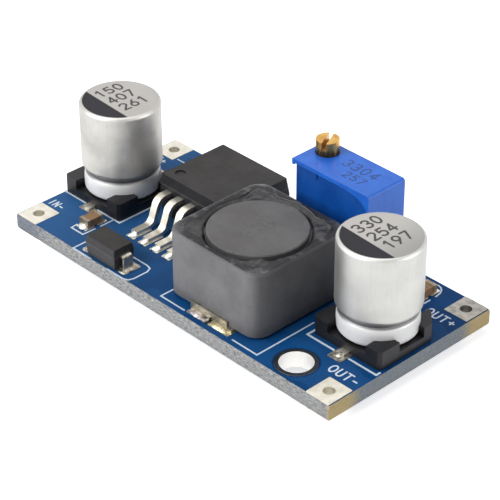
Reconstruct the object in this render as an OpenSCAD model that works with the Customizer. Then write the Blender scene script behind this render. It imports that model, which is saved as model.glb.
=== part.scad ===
// Adjustable step-down (buck) converter module, in millimetres.
// X runs from the input end to the output end, Y from the minus side to the
// plus side, Z up. The origin is the centre of the board's underside. The
// board takes its length and width from the parts and gaps laid out on it.

/* [Board] */
// Thickness of the glass-epoxy board
board_t = 1.6; // [0.8:0.1:2.4]
// Radius of the board's corners
board_r = 0.2; // [0.1:0.1:1]
// Width of the bevel left by the scoring groove
score_w = 0.12; // [0.05:0.01:0.2]
// Depth of the bevel left by the scoring groove
score_d = 0.4; // [0.2:0.05:0.5]
// Thickness of a tinned copper land
land_t = 0.05; // [0.03:0.01:0.1]
// Strip of board beyond the input capacitor's base
in_margin = 0.05; // [0:0.05:3]
// Strip of board beyond the output capacitor's base
out_margin = 0.5; // [0:0.05:3]
// Strip of board in front of the inductor
front_margin = 1.75; // [1.5:0.05:4]
// Strip of board behind the trimmer
back_margin = 1.15; // [0.8:0.05:4]

/* [Mounting and wire holes] */
// Diameter of a mounting hole
mount_d = 3.2; // [2:0.1:3.4]
// Width of the tinned ring round a mounting hole
mount_ring = 0.4; // [0.2:0.05:0.5]
// Mounting hole's distance from the board's end
mount_in_x = 6.5; // [6:0.05:7]
// Mounting hole's distance from the board's side
mount_in_y = 2.5; // [2.3:0.05:2.7]
// Thickness of the plating in a hole
plating_t = 0.05; // [0.03:0.01:0.1]
// Diameter of a wire hole
wire_d = 1.15; // [0.8:0.05:1.4]
// Length of a wire land along the board
wire_land_l = 2.75; // [2:0.05:3]
// Width of a wire land across the board
wire_land_w = 3; // [2:0.05:3]
// Wire hole's distance from the board's end
wire_in_x = 1.6; // [1.5:0.05:2]
// Wire hole's distance from the board's side
wire_in_y = 1.6; // [1.55:0.05:2]

/* [Electrolytic capacitors] */
// Diameter of a capacitor's can
can_d = 8; // [6.3:0.1:10]
// Height of a capacitor above its lands
can_h = 10.4; // [6:0.05:14]
// Radius of the can's top edge
can_edge = 0.35; // [0.1:0.05:0.8]
// Depth of the crimped groove round the can
crimp_depth = 0.25; // [0.1:0.05:0.5]
// Width of the square base beyond the can, on each side
base_over = 0.1; // [0.1:0.05:0.5]
// Width of the base's corner posts along the board
post_w = 1.75; // [1.2:0.05:2.2]
// Width of the base's corner posts across the board
post_l = 2.5; // [1.2:0.05:2.8]
// Thickness of the base under the can
base_floor = 0.85; // [0.6:0.05:1.2]
// Height of the base's corner posts
base_h = 1.85; // [1.4:0.05:2.2]
// Chamfer on the two plus corners of the base
base_chamfer = 1.5; // [0.8:0.1:2]
// Input capacitor's offset towards the minus side
in_off = 0.15; // [0:0.05:0.4]
// Output capacitor's offset towards the plus side
out_off = 0.35; // [0:0.05:0.4]
// Width of a capacitor's flat terminal
tag_w = 0.9; // [0.5:0.05:1.2]
// Thickness of a capacitor's flat terminal
tag_t = 0.2; // [0.1:0.05:0.3]
// Length of a terminal beyond the base
tag_out = 0.7; // [0.4:0.05:0.9]

/* [Regulator] */
// Greatest width of the moulded body
reg_w = 9.45; // [9:0.05:11]
// Length of the moulded body
reg_l = 8.45; // [7.8:0.05:9]
// Height of the moulded body
reg_h = 4.45; // [4:0.05:5]
// Slope of the body's sides, as width lost at the top
reg_draft = 0.22; // [0.1:0.02:0.6]
// Gap between the input capacitor's base and the regulator
reg_gap = 1.45; // [0.5:0.05:3]
// Length of the heat tab beyond the body
tab_l = 1.25; // [0.8:0.05:1.5]
// Thickness of the heat tab
tab_t = 1.27; // [1:0.01:1.4]
// Board left behind the heat tab
tab_margin = 0.95; // [0.4:0.05:2]
// Distance between the leads
lead_pitch = 1.7; // [1.5:0.05:1.8]
// Width of a lead
lead_w = 0.8; // [0.6:0.05:0.95]
// Thickness of a lead
lead_t = 0.45; // [0.3:0.05:0.55]
// Height of the leads' middle above the lands
lead_z = 2.75; // [2.4:0.05:3]
// Steepness of a lead's drop
lead_slope = 70; // [50:1:80]

/* [Inductor] */
// Side of the square ferrite shield
ind_w = 12; // [10:0.1:13]
// Height of the inductor above its clips
ind_h = 6.75; // [5:0.05:9]
// Radius of the shield's corners
ind_r = 1.6; // [1.2:0.1:1.8]
// Rounding of the shield's top edge
ind_edge = 0.35; // [0.1:0.05:0.6]
// Thickness of the shield's wall where it is thinnest
shield_wall = 0.5; // [0.4:0.05:0.8]
// Gap between the shield and the drum core
drum_gap = 0.75; // [0.5:0.05:1]
// Depth of the winding space round the drum's waist
wind_depth = 2.25; // [2:0.05:2.6]
// Thickness of the drum's flanges
drum_flange = 1.2; // [0.8:0.05:1.6]
// Diameter of the enamelled wire
wind_wire = 0.7; // [0.4:0.05:0.9]
// Gap between the regulator and the inductor
ind_gap = 1.05; // [0.5:0.05:3]
// Gap between the inductor and the output capacitor's base
cap_gap = 2.1; // [0.6:0.05:5]
// Width of a terminal clip's upright
clip_w = 4.8; // [4:0.05:6]
// Thickness of a terminal clip
clip_t = 0.25; // [0.15:0.05:0.3]
// Height of a clip's upright side
clip_h = 0.5; // [0.3:0.05:0.8]

/* [Diode] */
// Length of the diode's body
dio_l = 4.2; // [3.8:0.1:4.6]
// Width of the diode's body
dio_w = 2.5; // [2.2:0.1:2.6]
// Height of the diode's body
dio_h = 2.1; // [1.8:0.05:2.4]
// Width of the diode's straps
dio_strap_w = 1.1; // [1:0.05:1.6]
// Thickness of the diode's straps
dio_strap_t = 0.2; // [0.15:0.05:0.3]

/* [Chip capacitors] */
// Length of a chip capacitor
chip_l = 2; // [1.6:0.1:2.2]
// Width of a chip capacitor
chip_w = 1.25; // [0.8:0.05:1.3]
// Height of a chip capacitor
chip_h = 0.85; // [0.5:0.05:1]
// Length of a chip capacitor's end cap
chip_cap = 0.4; // [0.25:0.05:0.5]

/* [Trimmer] */
// Length of the trimmer's housing
trim_w = 9.77; // [9.7:0.01:10.2]
// Depth of the trimmer's housing
trim_d = 4.83; // [4.8:0.01:5]
// Height of the trimmer's housing
trim_h = 10.03; // [9.9:0.01:10.4]
// Gap between the inductor and the trimmer
trim_gap = 1.27; // [0.5:0.01:3]
// Trimmer's offset from the inductor's middle
trim_shift = 1.85; // [1:0.05:2.2]
// Diameter of the screw's slotted head
screw_d = 2.24; // [2:0.02:2.3]
// Height of the screw's head above the housing
screw_h = 1.4; // [1:0.05:1.8]
// Width of the screw's slot
slot_w = 0.45; // [0.4:0.05:0.7]
// Depth of the screw's slot
slot_d = 0.75; // [0.5:0.05:0.9]
// Teeth on the wiper's wheel, one for each turn and five spare
gear_teeth = 30; // [28:1:31]
// Thickness of the toothed wheel
gear_t = 0.7; // [0.5:0.05:0.75]
// Diameter of a pin
pin_d = 0.5; // [0.4:0.05:0.6]
// Distance between the pins
pin_pitch = 2.54; // [2.3:0.01:2.6]
// Length of a pin below the board
pin_out = 0.8; // [0.5:0.05:1.5]

/* [Hidden] */
$fn = 48;
eps = 0.01;
over = 1;

base_w = can_d + 2 * base_over;
function cap_y(x) = x < 0 ? -in_off : out_off;

// Layout along X, from the input end: capacitor, regulator, inductor, capacitor.
board_l = in_margin + base_w + reg_gap + reg_w + ind_gap + ind_w + cap_gap + base_w + out_margin;
in_x = -board_l / 2 + in_margin + base_w / 2;
reg_x = in_x + base_w / 2 + reg_gap + reg_w / 2;
ind_x = reg_x + reg_w / 2 + ind_gap + ind_w / 2;
out_x = ind_x + ind_w / 2 + cap_gap + base_w / 2;
trim_x = ind_x + trim_shift;

// Layout along Y, from the minus side: inductor, then trimmer.
board_w = front_margin + ind_w + trim_gap + trim_d + back_margin;
ind_y = -board_w / 2 + front_margin + ind_w / 2;
trim_y = board_w / 2 - back_margin - trim_d / 2;
reg_y = board_w / 2 - tab_margin - tab_l - reg_l;
seat_z = board_t + land_t;
land_r = 0.1;
land_side = 0.1;

// Holes
mount_x = board_l / 2 - mount_in_x;
mount_y = board_w / 2 - mount_in_y;
wire_x = board_l / 2 - wire_in_x;
wire_y = board_w / 2 - wire_in_y;

// Diode and chip capacitors
dio_shift = 1.9;
dio_in_y = 1.5;
dio_x = reg_x - dio_shift;
dio_y = -board_w / 2 + dio_in_y;
dio_lift = 0.1;
dio_part_z = 1.4;
dio_draft = 0.12;
dio_land_l = 1.9;
dio_land_w = 2;
dio_land_past = 1.05;
dio_land_back = 0.15;
strap_in = 0.45;
strap_bend = 0.15;
strap_foot = 0.9;
chip_in_shift = 2.4;
chip_in_past = 2.2;
chip_out_shift = 1.3;
chip_out_past = 3.9;
chip_in = [in_x + chip_in_shift, -base_w / 2 - chip_in_past];
chip_out = [out_x - chip_out_shift, base_w / 2 + chip_out_past];
chip_land_l = 1.2;
chip_land_past = 0.4;
chip_end_t = 0.04;

// Electrolytic capacitors
flange_h = 2.1;
flange_r = 0.5;
crimp_h = 0.9;
foot_step = 0.2;
foot_d = can_d - 2 * foot_step;
base_play = 0.05;
base_nick = 0.3;
tag_in = 0.9;
tag_land_l = 3.5;
tag_land_w = 1.6;
tag_land_past = 0.5;

// Regulator
leads = [-2, -1, 1, 2];
lead_in = 1.1;
lead_bend = 0.75;
lead_run = 0.75;
lead_foot = 1.55;
lead_drop = lead_z - lead_t / 2;
slug_w = 7.4;
slug_in = 1.6;
riser_l = 0.6;
tab_side = 0.05;
tab_notch_r = 0.45;
tab_notch_y = 0.1;
lead_land_side = 0.15;
lead_land_past = 0.6;
lead_land_in = 0.3;
tab_land_past = 0.25;
tab_land_in = 0.15;
pin_mark_x = 1.4;
pin_mark_y = 1.5;
pin_mark_d = 1.1;
pin_mark_depth = 0.15;
reg_under = 0.12;

// Inductor
pocket_wall = 1;
pocket_w = ind_w - 2 * pocket_wall;
ind_bore = ind_w - 2 * shield_wall;
drum_d = ind_bore - 2 * drum_gap;
drum_waist = drum_d - 2 * wind_depth;
drum_edge = 0.1;
pocket_r = 0.9;
glue_drop = 0.35;
glue_t = 0.9;
clip_foot = 2.6;
clip_foot_out = 0.45;
clip_slit = 0.5;
foot_shift = 0.55;
ind_land_past = 0.55;
ind_land_l = 3.25;
foot_w = clip_w + 0.5;
ind_z = seat_z + clip_t;
drum_drop = 0.05;
wind_play = 0.05;
wind_layers = floor(wind_depth / wind_wire - 0.5);
ripple = 75;

// Trimmer, in its own frame: U along X from the screw's end, V along Y from
// the front, W up from the board.
wall_end = 0.35;
wall_back = 0.38;
wall_top = 1.03;
wall_far = 0.7;
lip_over = 0.25;
lip_t = 0.6;
foot_h = 0.4;
foot_in = 1;
foot_back = 0.5;
potting_t = 0.6;
inner_play = 0.05;
rim_top = 0.4;
rim_far = 0.2;
round_u = 3.2;
round_w = 1.5;
housing_r = 0.3;
rim_drop = 0.35;
cover_t = 0.45;
element_t = 0.5;
element_drop = 0.6;
track_t = 0.04;
mark_r = 0.42;
mark_u = 2.55;
mark_w = 9.1;
mark_h = 0.1;
screw_u = lip_over + 1.2;
screw_v = 3.2;
run_gap = 0.05;
bearing_past = 0.7;
bearing_l = 1.7;
bearing_t = 0.6;
bearing_gap = 0.5;
thread_r = 0.62;
thread_e = 0.15;
thread_p = 0.6;
mesh_gap = 0.06;
thread_turns = 5;
worm_h = thread_turns * thread_p;
gear_r = gear_teeth * thread_p / (2 * PI);
gear_u = screw_u + thread_r + gear_r + mesh_gap;
gear_w = 4.35;
bearing_w = gear_w - worm_h / 2 - bearing_gap - bearing_t;
spindle_w = bearing_w + bearing_t / 4;
hub_r = 1;
axle_r = 0.55;
journal_r = 0.4;
neck_r = 0.5;
collar_r = 0.75;
collar_h = 0.4;
clip_plate_t = 0.3;
clip_plate_l = 2.3;
clip_plate_gap = 0.1;
clip_plate_in = 0.1;
clip_plate_front = 0.6;
slot_turn = 25;
ring_minor = 0.16;
ring_r = screw_d / 2 - ring_minor + 0.02;
pin_hole_r = 0.45;
pin_flag_h = 0.65;
pin_flag_t = 0.15;
pin_flag_w = 1;
pin_bite = 0.15;
pin_rise = 0.1;
solder_r = 0.8;
solder_h = 0.7 * pin_out;
wiper_t = 0.1;
wiper_r = 2.2;
wiper_hub_r = 1.3;
wiper_arm_r = 0.3;
button_r = 0.2;
button_at = 1;
collector_r = 0.25;
track_r = 0.35;
track_gap = 15;
cavity_front = rim_drop + cover_t;
cavity_back = trim_d - wall_back;
cavity_floor = foot_h + potting_t;
cavity_top = trim_h - wall_top;
element_v = cavity_back - element_t;
pin_v = element_v - pin_flag_t - pin_d / 2 + pin_bite;
pin_top = cavity_floor + pin_rise;
plate_top = cavity_top - clip_plate_gap - inner_play;
collar_w = plate_top - clip_plate_t - clip_plate_gap - collar_h;
neck_w = collar_w + collar_h / 2;

// ---- General shapes ----

// Points of an arc about c, from angle a to angle b.
function arc(c, r, a, b, n = 6) = [for (i = [0:n]) let(t = a + (b - a) * i / n) c + r * [cos(t), sin(t)]];

// Flat outline with true round corners.
module round_rect(l, w, r) {
    square([l - 2 * r, w], center = true);
    square([l, w - 2 * r], center = true);
    for (x = [-1, 1], y = [-1, 1])
        translate([x * (l / 2 - r), y * (w / 2 - r)]) circle(r);
}

module slab(l, w, h, r) linear_extrude(h) round_rect(l, w, r);

module block(l, w, h) translate([-l / 2, -w / 2, 0]) cube([l, w, h]);

// Block whose sides lean in by d towards its top.
module lean_block(l, w, h, d, r = 0.1)
    hull() {
        linear_extrude(eps) round_rect(l, w, r, $fn = 32);
        translate([0, 0, h - eps]) linear_extrude(eps) round_rect(l - 2 * d, w - 2 * d, r, $fn = 32);
    }

// Centre line of a bent strip. Each step is [straight length, turn, bend
// radius]; the result is a list of [point, heading].
function bend_path(steps, p = [0, 0], a = 0, i = 0) =
    i == len(steps) ? [] :
    let (
        s = steps[i],
        q = p + s[0] * [cos(a), sin(a)],
        side = s[1] < 0 ? -1 : 1,
        c = q + side * s[2] * [-sin(a), cos(a)],
        turned = [for (k = [1:6]) let(b = a + s[1] * k / 6) [c + side * s[2] * [sin(b), -cos(b)], b]],
        bent = s[1] == 0 ? [] : turned,
        end = s[1] == 0 ? q : turned[5][0]
    )
    concat(i == 0 ? [[p, a]] : [], [[q, a]], bent, bend_path(steps, end, a + s[1], i + 1));

// Strip of thickness t bent along a path, width w along Y, starting at the
// origin towards +X.
module strip(steps, t, w) {
    path = bend_path(steps);
    over = [for (q = path) q[0] + t / 2 * [-sin(q[1]), cos(q[1])]];
    under = [for (i = [len(path) - 1:-1:0]) path[i][0] - t / 2 * [-sin(path[i][1]), cos(path[i][1])]];
    translate([0, w / 2, 0]) rotate([90, 0, 0]) linear_extrude(w) polygon(concat(over, under));
}

// ---- Board ----

module board()
    color([0.07, 0.23, 0.47]) difference() {
        slab(board_l, board_w, board_t, board_r);
        for (s = [0, 1]) {
            rotate([0, 0, 180 * s]) translate([0, board_w / 2, 0]) score(board_l);
            rotate([0, 0, 90 + 180 * s]) translate([0, board_l / 2, 0]) score(board_w);
        }
        for (s = [-1, 1])
            translate([s * mount_x, -s * mount_y, -over])
                cylinder(h = board_t + 2 * over, d = mount_d + 2 * plating_t);
        for (x = [-1, 1], y = [-1, 1])
            translate([x * wire_x, y * wire_y, -over])
                cylinder(h = board_t + 2 * over, d = wire_d + 2 * plating_t);
        on_trimmer() for (i = [-1:1])
            translate([pin_u(i), pin_v, -board_t - over])
                cylinder(h = board_t + 2 * over, r = pin_hole_r);
    }

// Upper and lower bevels of one scored edge of length l, which faces +Y.
module score(l)
    for (m = [0, 1]) translate([0, 0, m * board_t]) mirror([0, 0, m]) rotate([90, 0, 90])
        translate([0, 0, -l / 2 - over]) linear_extrude(l + 2 * over)
            polygon([[-score_w, -eps], [score_w, -eps], [score_w, score_d], [0, score_d]]);

// Tinned lands on both faces joined through the hole.
module plated_hole(d, x, y) {
    color([0.83, 0.82, 0.78]) translate([x, y, 0]) difference() {
        union() {
            children();
            cylinder(h = board_t, d = d + 2 * plating_t);
            translate([0, 0, board_t]) mirror([0, 0, 1]) children();
        }
        translate([0, 0, -over]) cylinder(h = board_t + 2 * over, d = d);
    }
}

module wire_land(sx, sy)
    plated_hole(wire_d, sx * wire_x, sy * wire_y)
        translate([0, 0, -land_t]) slab(wire_land_l, wire_land_w, land_t, land_r);

module mounting_ring(s)
    plated_hole(mount_d, s * mount_x, -s * mount_y)
        translate([0, 0, -land_t]) cylinder(h = land_t, d = mount_d + 2 * mount_ring);

module wire_land_in_minus() wire_land(-1, -1);
module wire_land_in_plus() wire_land(-1, 1);
module wire_land_out_minus() wire_land(1, -1);
module wire_land_out_plus() wire_land(1, 1);
module mounting_ring_front() mounting_ring(1);
module mounting_ring_back() mounting_ring(-1);

module land(x, y, l, w) color([0.83, 0.82, 0.78]) translate([x, y, board_t]) slab(l, w, land_t, land_r);

module capacitor_lands()
    for (x = [in_x, out_x], s = [-1, 1])
        land(x, s * (base_w / 2 + tag_out + tag_land_past - tag_land_l / 2), tag_land_w, tag_land_l);

module regulator_lands() {
    for (i = [-2:2])
        land(reg_x + i * lead_pitch, reg_y - lead_tip() + (lead_foot + lead_land_in - lead_land_past) / 2,
            lead_w + 2 * lead_land_side, lead_foot + lead_land_in + lead_land_past);
    land(reg_x, reg_y + (reg_l + tab_l + slug_in + tab_land_past - tab_land_in) / 2,
        reg_w + 2 * lead_land_side, reg_l + tab_l - slug_in + tab_land_past + tab_land_in);
}

module inductor_lands()
    for (s = [-1, 1])
        land(ind_x - s * foot_shift, ind_y + s * (ind_w / 2 + clip_foot_out + ind_land_past
            - ind_land_l / 2),
            foot_w + 2 * land_side, ind_land_l);

module diode_lands()
    for (s = [-1, 1])
        land(dio_x + s * (dio_l / 2 + dio_land_past - dio_land_l / 2), dio_y + dio_land_back,
            dio_land_l, dio_land_w);

module chip_lands()
    for (c = [chip_in, chip_out], s = [-1, 1])
        land(c[0], c[1] + s * (chip_l / 2 + chip_land_past - chip_land_l / 2), chip_w + 2 * land_side,
            chip_land_l);

// ---- Electrolytic capacitors ----

// Sealed can: rolled flange, crimped groove, straight wall and round top edge.
module can(x) {
    r = can_d / 2;
    foot = foot_d / 2;
    z0 = seat_z + base_floor;
    z1 = seat_z + base_floor + flange_h;
    top = seat_z + can_h;
    color([0.78, 0.78, 0.76]) translate([x, cap_y(x), 0]) rotate_extrude($fn = 64) polygon(concat(
        [[0, z0]],
        arc([foot - flange_r, z0 + flange_r], flange_r, -90, 0),
        arc([foot - crimp_depth, z1 - crimp_depth], crimp_depth, 0, 90),
        [for (i = [1:8]) [foot - crimp_depth + (crimp_depth + foot_step) * (1 - cos(22.5 * i)) / 2,
            z1 + crimp_h * i / 8]],
        arc([r - can_edge, top - can_edge], can_edge, 0, 90),
        [[0, top]]
    ));
}

// Moulded base with four posts that hold the can and grooves for its terminals.
module base(x)
    color([0.09, 0.09, 0.1]) translate([x, cap_y(x), seat_z]) difference() {
        linear_extrude(base_h) polygon([
            [-base_w / 2, base_nick - base_w / 2], [base_nick - base_w / 2, -base_w / 2],
            [base_w / 2 - base_nick, -base_w / 2], [base_w / 2, base_nick - base_w / 2],
            [base_w / 2, base_w / 2 - base_chamfer], [base_w / 2 - base_chamfer, base_w / 2],
            [-base_w / 2 + base_chamfer, base_w / 2], [-base_w / 2, base_w / 2 - base_chamfer]
        ]);
        translate([0, 0, base_floor]) cylinder(h = base_h, d = foot_d + 2 * base_play, $fn = 64);
        for (s = [-1, 1])
            translate([-tag_w / 2, s > 0 ? tag_in : -base_w, -over])
                cube([tag_w, base_w - tag_in, over + tag_t]);
        translate([-base_w, post_l - base_w / 2, base_floor])
            cube([2 * base_w, base_w - 2 * post_l, base_h]);
        translate([post_w - base_w / 2, -base_w, base_floor])
            cube([base_w - 2 * post_w, 2 * base_w, base_h]);
    }

// Flat terminal that leaves under the base, side s.
module terminal(x, s)
    color([0.8, 0.78, 0.72]) translate([x, cap_y(x), seat_z]) rotate([0, 0, s > 0 ? 0 : 180])
        translate([-tag_w / 2, tag_in, 0]) cube([tag_w, base_w / 2 + tag_out - tag_in, tag_t]);

module input_can() can(in_x);
module input_base() base(in_x);
module input_terminal_minus() terminal(in_x, -1);
module input_terminal_plus() terminal(in_x, 1);
module output_can() can(out_x);
module output_base() base(out_x);
module output_terminal_minus() terminal(out_x, -1);
module output_terminal_plus() terminal(out_x, 1);

// ---- Regulator ----

// Gull-wing course of a lead from inside the body to its foot.
function lead_bend_r() = lead_bend + lead_t / 2;
function lead_straight() = (lead_drop - 2 * lead_bend_r() * (1 - cos(lead_slope))) / sin(lead_slope);
function lead_steps() = [
    [lead_in + lead_run, -lead_slope, lead_bend_r()],
    [lead_straight(), lead_slope, lead_bend_r()],
    [lead_foot, 0, 0]
];
function lead_tip() = lead_run + 2 * lead_bend_r() * sin(lead_slope) + lead_straight() * cos(lead_slope)
    + lead_foot;

module lead(i)
    color([0.82, 0.79, 0.71])
    translate([reg_x + i * lead_pitch, reg_y + lead_in, seat_z + lead_z]) rotate([0, 0, -90])
        strip(lead_steps(), lead_t, lead_w);

module regulator_lead_1() lead(-2);
module regulator_lead_2() lead(-1);
module regulator_lead_4() lead(1);
module regulator_lead_5() lead(2);

// Heat tab, narrower slug inside the body, and the middle lead that grows from it.
module regulator_tab() {
    color([0.8, 0.79, 0.75]) translate([reg_x, reg_y, seat_z]) union() {
        difference() {
            translate([0, reg_l + tab_l / 2, 0]) block(reg_w - 2 * tab_side, tab_l, tab_t);
            for (s = [-1, 1])
                translate([s * reg_w / 2, reg_l + tab_notch_y, -over])
                    cylinder(h = tab_t + 2 * over, r = tab_notch_r);
        }
        translate([-slug_w / 2, slug_in, 0]) cube([slug_w, reg_l - slug_in + eps, tab_t]);
        translate([-lead_w / 2, slug_in, tab_t - eps])
            cube([lead_w, riser_l, lead_z + lead_t / 2 - tab_t + eps]);
        translate([-lead_w / 2, lead_in - eps, lead_z - lead_t / 2])
            cube([lead_w, slug_in - lead_in + riser_l / 2, lead_t]);
    }
    lead(0);
}

module regulator_body()
    color([0.22, 0.22, 0.24]) difference() {
        translate([reg_x, reg_y + reg_l / 2, seat_z]) union() {
            translate([0, 0, lead_z]) lean_block(reg_w, reg_l, reg_h - lead_z, reg_draft);
            translate([0, 0, lead_z + eps]) mirror([0, 0, 1]) lean_block(reg_w, reg_l, lead_z, reg_under);
        }
        regulator_tab();
        for (i = leads) lead(i);
        translate([reg_x - reg_w / 2 + pin_mark_x, reg_y + pin_mark_y, seat_z + reg_h - pin_mark_depth])
            cylinder(h = over, d = pin_mark_d);
    }

// ---- Inductor ----

// Opening of the shield: a bore with four square pockets for the glue.
module shield_opening() {
    circle(d = ind_bore, $fn = 64);
    round_rect(pocket_w, pocket_w, pocket_r);
}

module inductor_shield()
    color([0.4, 0.4, 0.42]) translate([ind_x, ind_y, ind_z]) difference() {
        hull() {
            linear_extrude(ind_h - ind_edge) round_rect(ind_w, ind_w, ind_r, $fn = 32);
            for (a = [30, 60, 90])
                linear_extrude(ind_h - ind_edge * (1 - sin(a)))
                    round_rect(ind_w - 2 * ind_edge * (1 - cos(a)), ind_w - 2 * ind_edge * (1 - cos(a)),
                        ind_r, $fn = 32);
        }
        translate([0, 0, -over]) linear_extrude(ind_h + 2 * over) shield_opening();
    }

// Drum core: two flanges and a waist that the wire is wound on.
module inductor_core() {
    h = ind_h - drum_drop;
    r = drum_d / 2;
    color([0.45, 0.45, 0.46]) translate([ind_x, ind_y, ind_z]) rotate_extrude($fn = 64) polygon([
        [0, 0], [r, 0], [r, drum_flange], [drum_waist / 2, drum_flange],
        [drum_waist / 2, h - drum_flange], [r, h - drum_flange], [r, h - drum_edge], [r - drum_edge, h],
            [0, h]
    ]);
}

// Wound wire, its outside rippled by the turns of the last layer.
module inductor_winding() {
    low = drum_flange + wind_play;
    room = ind_h - drum_drop - 2 * low;
    turns = floor(room / wind_wire);
    pitch = room / turns;
    r = drum_waist / 2 + wind_wire * (wind_layers - 0.5);
    color([0.65, 0.33, 0.14]) translate([ind_x, ind_y, ind_z + low])
        rotate_extrude($fn = 64) polygon(concat(
        [[drum_waist / 2, 0]],
        [for (i = [0:turns - 1], a = [-ripple:30:ripple])
            [r + wind_wire / 2 * cos(a), (i + 0.5) * pitch + (pitch / 2 - eps) * sin(a) / sin(ripple)]],
        [[drum_waist / 2, room]]
    ));
}

// Glue between drum and shield, filling the pockets.
module inductor_glue()
    color([0.3, 0.3, 0.31]) translate([ind_x, ind_y, ind_z + ind_h - glue_drop - glue_t])
        linear_extrude(glue_t)
        difference() {
            shield_opening();
            circle(d = drum_d, $fn = 64);
        }

// Tinned clip on one side: an upright on the shield and two feet under it.
module clip(s)
    color([0.8, 0.76, 0.62]) translate([ind_x, ind_y, seat_z]) rotate([0, 0, s > 0 ? 0 : 180])
        difference() {
        union() {
            translate([-foot_shift - foot_w / 2, ind_w / 2 + clip_foot_out - clip_foot, 0])
                cube([foot_w, clip_foot, clip_t]);
            translate([-clip_w / 2, ind_w / 2, 0]) cube([clip_w, clip_t, clip_t + clip_h]);
        }
        translate([-foot_shift - clip_slit / 2, ind_w / 2 + clip_t, -over])
            cube([clip_slit, clip_foot_out + over, clip_t + 2 * over]);
    }

module inductor_clip_front() clip(-1);
module inductor_clip_back() clip(1);

// ---- Diode ----

// Straps leave at the parting line, turn down the end and under the body.
function strap_steps() = [
    [strap_in + dio_strap_t, -90, dio_strap_t / 2 + strap_bend],
    [dio_lift + dio_part_z - 2 * (dio_strap_t + strap_bend), -90, dio_strap_t / 2 + strap_bend],
    [strap_foot, 0, 0]
];

module strap(s)
    color([0.8, 0.79, 0.74]) translate([dio_x, dio_y, seat_z + dio_lift + dio_part_z - dio_strap_t / 2])
        rotate([0, 0, s > 0 ? 0 : 180]) translate([dio_l / 2 - strap_in, 0, 0])
            strip(strap_steps(), dio_strap_t, dio_strap_w);

module diode_strap_cathode() strap(-1);
module diode_strap_anode() strap(1);

module diode_body()
    color([0.16, 0.15, 0.16]) difference() {
        translate([dio_x, dio_y, seat_z + dio_lift]) union() {
            translate([0, 0, dio_part_z]) lean_block(dio_l, dio_w, dio_h - dio_part_z, dio_draft);
            translate([0, 0, dio_part_z + eps]) mirror([0, 0, 1])
                lean_block(dio_l, dio_w, dio_part_z + eps, dio_draft);
        }
        strap(-1);
        strap(1);
    }

// ---- Chip capacitors, lying along Y ----

module chip(c)
    color([0.5, 0.36, 0.24]) translate([c[0], c[1], seat_z + chip_end_t])
        block(chip_w - 2 * chip_end_t, chip_l - 2 * chip_end_t, chip_h - 2 * chip_end_t);

module chip_ends(c)
    color([0.82, 0.81, 0.78]) translate([c[0], c[1], seat_z]) difference() {
        for (s = [-1, 1]) translate([0, s * (chip_l - chip_cap) / 2, 0]) block(chip_w, chip_cap, chip_h);
        translate([0, 0, chip_end_t])
            block(chip_w - 2 * chip_end_t, chip_l - 2 * chip_end_t, chip_h - 2 * chip_end_t);
    }

module input_chip() chip(chip_in);
module input_chip_ends() chip_ends(chip_in);
module output_chip() chip(chip_out);
module output_chip_ends() chip_ends(chip_out);

// ---- Trimmer ----

module on_trimmer() translate([trim_x - trim_w / 2, trim_y - trim_d / 2, board_t]) children();

function pin_u(i) = trim_w / 2 + i * pin_pitch;

// Front view of the housing: one top corner is round, the other has a lip
// that stands over the end wall.
module housing_outline()
    polygon(concat(
        [[lip_over, foot_h], [trim_w, foot_h]],
        arc([trim_w - housing_r, trim_h - housing_r], housing_r, 0, 90),
        [[0, trim_h], [0, trim_h - lip_t], [lip_over, trim_h - lip_t]]
    ));

// Recess in the front that holds the cover, one corner swept like a quarter of an ellipse.
module cover_outline() {
    l = lip_over;
    r = trim_w - rim_far;
    b = foot_h;
    t = trim_h - rim_top;
    polygon(concat(
        [[l, b], [r, b]],
        [for (a = [0:10:90]) [r - round_u * (1 - cos(a)), t - round_w * (1 - sin(a))]],
        [[l, t]]
    ));
}

module up_front(depth) translate([0, depth, 0]) rotate([90, 0, 0]) linear_extrude(depth) children();

module trimmer_housing()
    color([0.1, 0.33, 0.72]) on_trimmer() difference() {
        union() {
            up_front(trim_d) housing_outline();
            for (u = [lip_over, trim_w - wall_end]) 
                translate([u, foot_in, 0]) cube([wall_end, trim_d - foot_in - foot_back, foot_h + eps]);
        }
        // cover seat, cavity and open underside
        translate([0, -eps, 0]) up_front(cavity_front + eps) cover_outline();
        translate([lip_over + wall_end, cavity_front - eps, foot_h - eps])
            cube([trim_w - lip_over - wall_end - wall_far, cavity_back - cavity_front + eps,
                cavity_top - foot_h + eps]);
        // screw bore and the retainer's groove
        translate([screw_u, screw_v, cavity_top - over])
            cylinder(h = wall_top + 2 * over, r = screw_d / 2 + run_gap);
        translate([lip_over + wall_end - clip_plate_in, cavity_front, plate_top - clip_plate_t])
            cube([over, cavity_back - cavity_front, clip_plate_t]);
    }

// Lower bearing of the screw, moulded on the cover beside the wheel's axle.
module trimmer_cover()
    color([0.07, 0.28, 0.6]) on_trimmer() {
        difference() {
            union() {
                translate([0, rim_drop, 0]) up_front(cover_t) cover_outline();
                translate([gear_u, cavity_front - eps, gear_w]) rotate([-90, 0, 0])
                    cylinder(h = screw_v - cavity_front + gear_t / 2, r = axle_r);
                translate([lip_over + wall_end + inner_play, cavity_front - eps, bearing_w])
                    cube([bearing_l, screw_v - cavity_front + bearing_past, bearing_t]);
                translate([mark_u, rim_drop + eps, mark_w]) rotate([90, 0, 0])
                    cylinder(h = mark_h, r = mark_r);
            }
            translate([screw_u, screw_v, bearing_w - over])
                cylinder(h = bearing_t + 2 * over, r = journal_r + run_gap);
        }
    }

// Ceramic plate that carries the resistive track.
module trimmer_element()
    color([0.9, 0.89, 0.85]) on_trimmer()
        translate([lip_over + wall_end + inner_play, element_v, cavity_floor])
            cube([trim_w - lip_over - wall_end - wall_far - 2 * inner_play, element_t,
                cavity_top - cavity_floor - element_drop]);

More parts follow.
